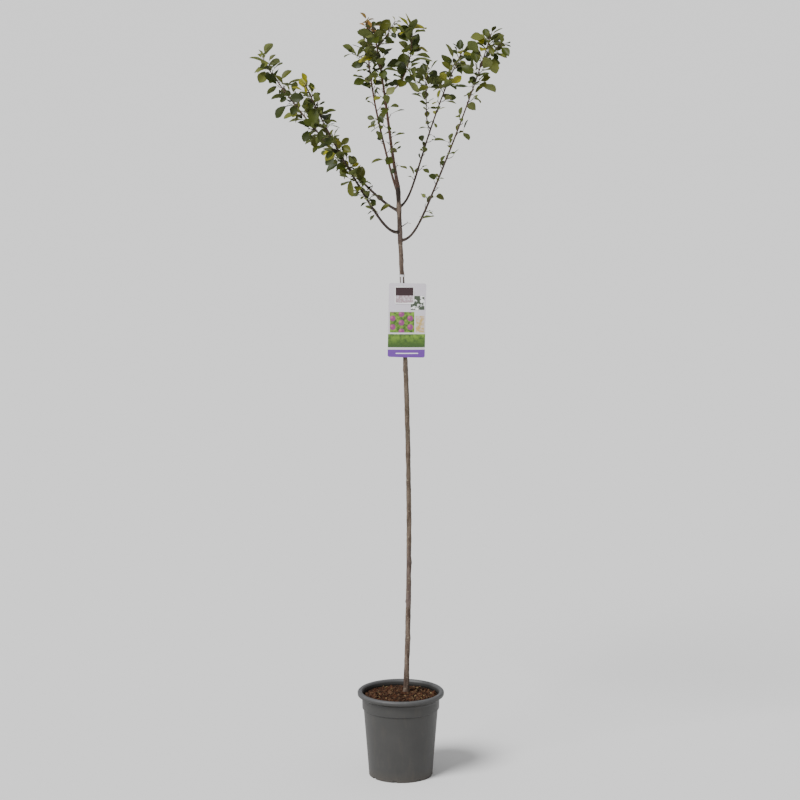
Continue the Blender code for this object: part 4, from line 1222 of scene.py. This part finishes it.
def spray_kinds(rng):
    """The kind of each leaf. All leaves of a spray have one kind, by a draw, and the tips of some
    limbs have their own: bronze and pale young leaves, and lime ones, painted sunlight shining through."""
    odds = np.cumsum([kind[3] for kind in LEAF_KINDS])
    names = [kind[0] for kind in LEAF_KINDS]
    kinds = []
    for limb, spurs, leaves in sprays:
        draw = np.searchsorted(odds / odds[-1], rng.random(len(spurs["root"])))
        kind = draw[leaves["spur"]]
        if limb.name in YOUNG_AND_SUN_THROUGH_TIPS:
            kind = np.where(leaves["share"] > YOUNG_AND_SUN_THROUGH_SHARE, names.index(YOUNG_AND_SUN_THROUGH_TIPS[limb.name]), kind)
        kinds.append(kind)
    return np.concatenate(kinds)


leaf_rng = np.random.default_rng(LEAF_SEED)
leaves = {
    key: np.concatenate([spray[2][key] for spray in sprays])
    for key in ("root", "course", "face", "length")
}
kinds = spray_kinds(leaf_rng)
blades = leaf_skin(leaves, leaf_rng)
masses = [name for name in frame["nodes"] if name.startswith("foliage_")]
one_leaf = blade_faces()
half_faces = len(one_leaf[0]) // 2
for index, (kind, above, below, _) in enumerate(LEAF_KINDS):
    mine = blades[kinds == index]
    slots = np.tile(np.repeat([0, 1], half_faces), len(mine))
    skins = [
        leaf_skin_finish(f"leaf {kind} above", above, waxy=True),
        leaf_skin_finish(f"leaf {kind} below", below, waxy=False),
    ]
    spread_leaves = swarm("leaves_" + kind, mine, one_leaf, skins, slots, sharp=75)
    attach(spread_leaves, "root")
    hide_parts(*masses)

stalk_faces = ring_faces(STALK_RINGS, STALK_SIDES)
stalks = swarm("leaf_stalks", stalk_skin(leaves), stalk_faces, [stalk_skin_finish()], sharp=180)
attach(stalks, "root")


# The hanging label
# A printed card of coated board hangs on a strap of clear plastic that loops round the stem, with a
# small card clipped before it. Both are slightly curled. The print is a plain pattern of discs.

CARD_WIDTH = 0.110
CARD_TOP = 1.504
CARD_BOTTOM = 1.283
CARD_MIDDLE = 0.0180
CARD_THICK = 0.0007
CARD_FACE = -0.0056
CARD_CORNER = 0.004
CARD_LEAN = radians(-1.2)
CARD_CURL = 0.0022
CARD_ROWS = 60
CARD_COLUMNS = 25
STRAP_HEIGHT = 1.526
STRAP_WIDE = 0.006
STRAP_THICK = 0.0012
STRAP_GAP = 0.0003
STRAP_SLACK = 0.0005
STRAP_TURNS = 64
STEM_THERE = trunk_point(STRAP_HEIGHT)
STRAP_INNER = float(trunk_radius(np.array(STRAP_HEIGHT))) + STRAP_GAP
TAG_WIDTH = 0.057
TAG_TOP = 1.494
TAG_BOTTOM = 1.443
TAG_MIDDLE = 0.0110
TAG_FACE = CARD_FACE - CARD_THICK - 0.0008

PAPER = (0.66, 0.62, 0.68)
PAPER_WHITE = (0.93, 0.93, 0.93)
PAPER_BACK = (0.66, 0.66, 0.64)
PRINT_GREEN = (0.20, 0.36, 0.035)
PRINT_LEAF = (0.040, 0.095, 0.012)
PRINT_PLUM = (0.20, 0.035, 0.16)
PRINT_BLUSH = (0.50, 0.14, 0.26)
PRINT_VIOLET = (0.150, 0.045, 0.33)
PRINT_STRAW = (0.55, 0.38, 0.11)
PRINT_SHADE = (0.050, 0.070, 0.040)
PRINT_MAROON = (0.030, 0.010, 0.014)
PRINT_ROSE = (0.36, 0.25, 0.27)
STRAP_WHITE = (0.62, 0.64, 0.62)
PANEL = (-0.46, 0.20, 0.335, 0.615)
STRIP = (0.135, 0.315)
BAND = 0.105
DISC_PITCH = 0.235
DISC_RADIUS = 0.078


def card_skin(width, low, high, middle, face, curl):
    """A card's grid: its rings go left to right over the front and back over the rear. It has round
    corners, and its face bows back by curl times (2x / width)^2."""
    height = high - low
    down = np.linspace(-height / 2, height / 2, CARD_ROWS)
    into = np.maximum(np.abs(down) - (height / 2 - CARD_CORNER), 0)
    bulge = np.maximum(CARD_CORNER ** 2 - into ** 2, (0.05 * CARD_CORNER) ** 2)
    half = width / 2 - CARD_CORNER + np.sqrt(bulge)
    share = np.linspace(-1, 1, CARD_COLUMNS)
    x = half[:, None] * np.concatenate([share, share[::-1]])
    rear = np.concatenate([0 * share, 0 * share + 1])
    y = curl * (2 * x / width) ** 2 + CARD_THICK * rear + 0.4 * curl * (down[:, None] / height) * x / width
    z = down[:, None] + 0 * x
    turned_x = x * cos(CARD_LEAN) - z * sin(CARD_LEAN)
    turned_z = x * sin(CARD_LEAN) + z * cos(CARD_LEAN)
    return np.stack([middle + turned_x, face + y, (low + high) / 2 + turned_z], axis=-1)


def printed_side():
    """1 at a card's front points and 0 at its rear ones."""
    return np.repeat([[1.0, 0.0]], CARD_COLUMNS, axis=1) + np.zeros((CARD_ROWS, 1))


def card_shares(finish, width, low, high, middle):
    """A point's way from a card's middle, in shares of its width and of its height."""
    place = finish.place(shift=(-middle, 0.0, -(high + low) / 2))
    return finish.part("X", place) / width, finish.part("Z", place) / (high - low)


def card_print():
    """The large card's print: a green panel with staggered plum-coloured discs, a soft green strip, a
    straw column and a violet band with one plain line, on pale card."""
    finish = Finish("label card")
    x, z = card_shares(finish, CARD_WIDTH, CARD_BOTTOM, CARD_TOP, CARD_MIDDLE)
    z = z + 0.5
    tall = z * ((CARD_TOP - CARD_BOTTOM) / CARD_WIDTH)
    column = ((x + 0.5) / DISC_PITCH).floor()
    u = (x + 0.5) - (column + 0.5) * DISC_PITCH
    row = (tall + column % 2.0 * (DISC_PITCH / 2)) / DISC_PITCH
    v = (row - row.floor() - 0.5) * DISC_PITCH
    away = (u * u + v * v) ** 0.5
    disc = 1 - away.over(DISC_RADIUS, 0.012)
    shine = 1 - ((u + 0.03) * (u + 0.03) + (v - 0.03) * (v - 0.03)).over(0.0012, 0.0016)
    cloud = finish.noise(120, 3)
    green = finish.mix(cloud.over(0.5, 0.25), PRINT_LEAF, PRINT_GREEN)
    plum = finish.mix(shine * 0.6 + cloud * 0.3, PRINT_PLUM, PRINT_BLUSH)
    panel = between(x, PANEL[0], PANEL[1]) * between(z, PANEL[2], PANEL[3])
    low_side = between(x, 0.235, 0.47) * between(z, PANEL[2], 0.56)
    high_side = between(x, 0.10, 0.47) * between(z, 0.64, 0.83)
    meadow = finish.mix((cloud.over(0.48, 0.3) * z.over(0.24, 0.16)).clamp(), PRINT_LEAF, PRINT_GREEN)
    colour = finish.coats(
        PAPER,
        (low_side * (0.35 + 0.65 * cloud.over(0.52, 0.2)), PRINT_STRAW),
        (high_side, finish.mix(cloud.over(0.56, 0.08), PRINT_SHADE, PAPER_WHITE)),
        (panel, finish.mix(disc, green, plum)),
        (between(z, *STRIP), meadow),
        (1 - z.over(BAND, 0.004), PRINT_VIOLET),
        (between(z, 0.048, 0.060) * between(x, -0.30, 0.30), PAPER_WHITE),
    )
    return finish.feed(
        Base_Color=finish.mix(finish.kept("front").over(0.5, 0.1), PAPER_BACK, colour),
        Roughness=0.30 + cloud * 0.12,
    )


def tag_print():
    """The small card's print: maroon over rose with a white border."""
    finish = Finish("small card")
    x, z = card_shares(finish, TAG_WIDTH, TAG_BOTTOM, TAG_TOP, TAG_MIDDLE)
    cloud = finish.noise(200, 3)
    inner = between(x, -0.46, 0.46, 0.01) * between(z, -0.44, 0.46, 0.01)
    colour = finish.coats(PRINT_ROSE, (cloud.over(0.5, 0.3), PAPER), (z.over(-0.02, 0.02), PRINT_MAROON))
    colour = finish.mix(inner, PAPER_WHITE, colour)
    return finish.feed(
        Base_Color=finish.mix(finish.kept("front").over(0.5, 0.1), PAPER_BACK, colour),
        Roughness=0.28 + cloud * 0.1,
    )


def strap_plastic():
    """The strap: whitish clear plastic."""
    finish = Finish("clear strap")
    cloud = finish.noise(300, 2)
    return finish.feed(Base_Color=finish.mix(cloud, STRAP_WHITE, PAPER), Roughness=0.25 + cloud * 0.1)


def strap_loop():
    """The strap's loop: a flat band, as a ring of four-cornered sections round the stem."""
    turn = 2 * pi * np.arange(STRAP_TURNS) / STRAP_TURNS
    radius = STRAP_INNER + STRAP_SLACK + STRAP_THICK * np.array([0, 1, 1, 0])
    level = STRAP_WIDE / 2 * np.array([-1, -1, 1, 1])
    band = radius[:, None, None] * level_way(turn)
    return STEM_THERE + band + level[:, None, None] * np.array([0, 0, 1.0])


def strap_faces():
    """The loop's faces: four bands round, the last of which closes on the first ring."""
    return ring_faces(5, STRAP_TURNS)[0] % (4 * STRAP_TURNS)


def strap_tail():
    """The strap's tail: a flat band from the loop down to the card, its sections four-cornered."""
    front = STEM_THERE[1] - (STRAP_INNER + STRAP_THICK)
    path = np.array([
        (STEM_THERE[0], front, STRAP_HEIGHT + 0.001),
        (STEM_THERE[0], front - 0.0014, STRAP_HEIGHT - 0.009),
        (STEM_THERE[0], CARD_FACE - 0.0004, CARD_TOP - 0.001),
        (STEM_THERE[0], CARD_FACE - 0.0006, CARD_TOP - 0.012),
    ])
    corner = np.array([(-1, 0.5, 0), (1, 0.5, 0), (1, -0.5, 0), (-1, -0.5, 0)])
    return eased(path, 0.005)[:, None] + corner * [STRAP_WIDE / 2, STRAP_THICK * 0.8, 0]


card_grid = card_skin(CARD_WIDTH, CARD_BOTTOM, CARD_TOP, CARD_MIDDLE, CARD_FACE, CARD_CURL)
card = skin("label_card", card_grid, card_print(), sharp=60)
marked(card, {"front": printed_side()})
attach(card, "root")
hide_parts("hang_label")

tag_grid = card_skin(TAG_WIDTH, TAG_BOTTOM, TAG_TOP, TAG_MIDDLE, TAG_FACE, 0.3 * CARD_CURL)
tag = skin("small_card", tag_grid, tag_print(), sharp=60)
marked(tag, {"front": printed_side()})
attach(tag, "root")
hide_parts("label_tag")

strap_finish = strap_plastic()
loop = shown("strap_loop", strap_loop().reshape(-1, 3), strap_faces().tolist(), [strap_finish])
tail = skin("strap_tail", strap_tail(), strap_finish)
for strap in (loop, tail):
    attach(strap, "root")
    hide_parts("hang_label")


# The studio
# A pale floor without an edge in sight, a white room's even light, and one far, broad lamp high on
# the left, in front of the tree.

FLOOR_RADIUS = 900.0
FLOOR_PALE = (0.92, 0.92, 0.92)
FLOOR_SUNK = 0.0002
FLOOR_TURNS = 128
ROOM_LIGHT = 0.46
KEY_HEADING = (3.9, 4.1, -6.2)
KEY_SPREAD = radians(24)
KEY_STRENGTH = 3.6
CAMERA_PLACE = (-0.0024, -8.0, 2.6)
CAMERA_PITCH = radians(90 - 10.246)
FOCAL_PIXELS = 2740
PHOTO_PIXELS = 800
SENSOR_MM = 36.0
CLIP_END = 2000.0


def floor_finish():
    """Matt pale paint, with the faintest clouds."""
    finish = Finish("floor paint", 0.1, 0.9)
    shade = tuple(0.985 * c for c in FLOOR_PALE)
    return finish.feed(Base_Color=finish.mix(finish.noise(0.7, 2), FLOOR_PALE, shade))


rim = turned([(FLOOR_RADIUS, -FLOOR_SUNK)], FLOOR_TURNS)[0]
floor = shown("floor", rim, [list(range(FLOOR_TURNS))], [floor_finish()])

room = bpy.data.worlds.new("room")
room.use_nodes = True
light = room.node_tree.nodes["Background"]
light.inputs["Color"].default_value = (1.0, 1.0, 1.0, 1.0)
light.inputs["Strength"].default_value = ROOM_LIGHT
bpy.context.scene.world = room

lamp = bpy.data.lights.new("key", "SUN")
lamp.energy = KEY_STRENGTH
lamp.angle = KEY_SPREAD
lamp_object = bpy.data.objects.new("key", lamp)
aim = np.array(KEY_HEADING)
lamp_object.rotation_euler = (np.arctan2(np.hypot(*aim[:2]), -aim[2]), 0.0, np.arctan2(-aim[0], aim[1]))
bpy.context.scene.collection.objects.link(lamp_object)

lens = bpy.data.cameras.new("camera")
lens.sensor_width = SENSOR_MM
lens.lens = FOCAL_PIXELS / PHOTO_PIXELS * SENSOR_MM
lens.clip_end = CLIP_END
camera = bpy.data.objects.new("camera", lens)
camera.location = CAMERA_PLACE
camera.rotation_euler = (CAMERA_PITCH, 0.0, 0.0)
bpy.context.scene.collection.objects.link(camera)
bpy.context.scene.camera = camera
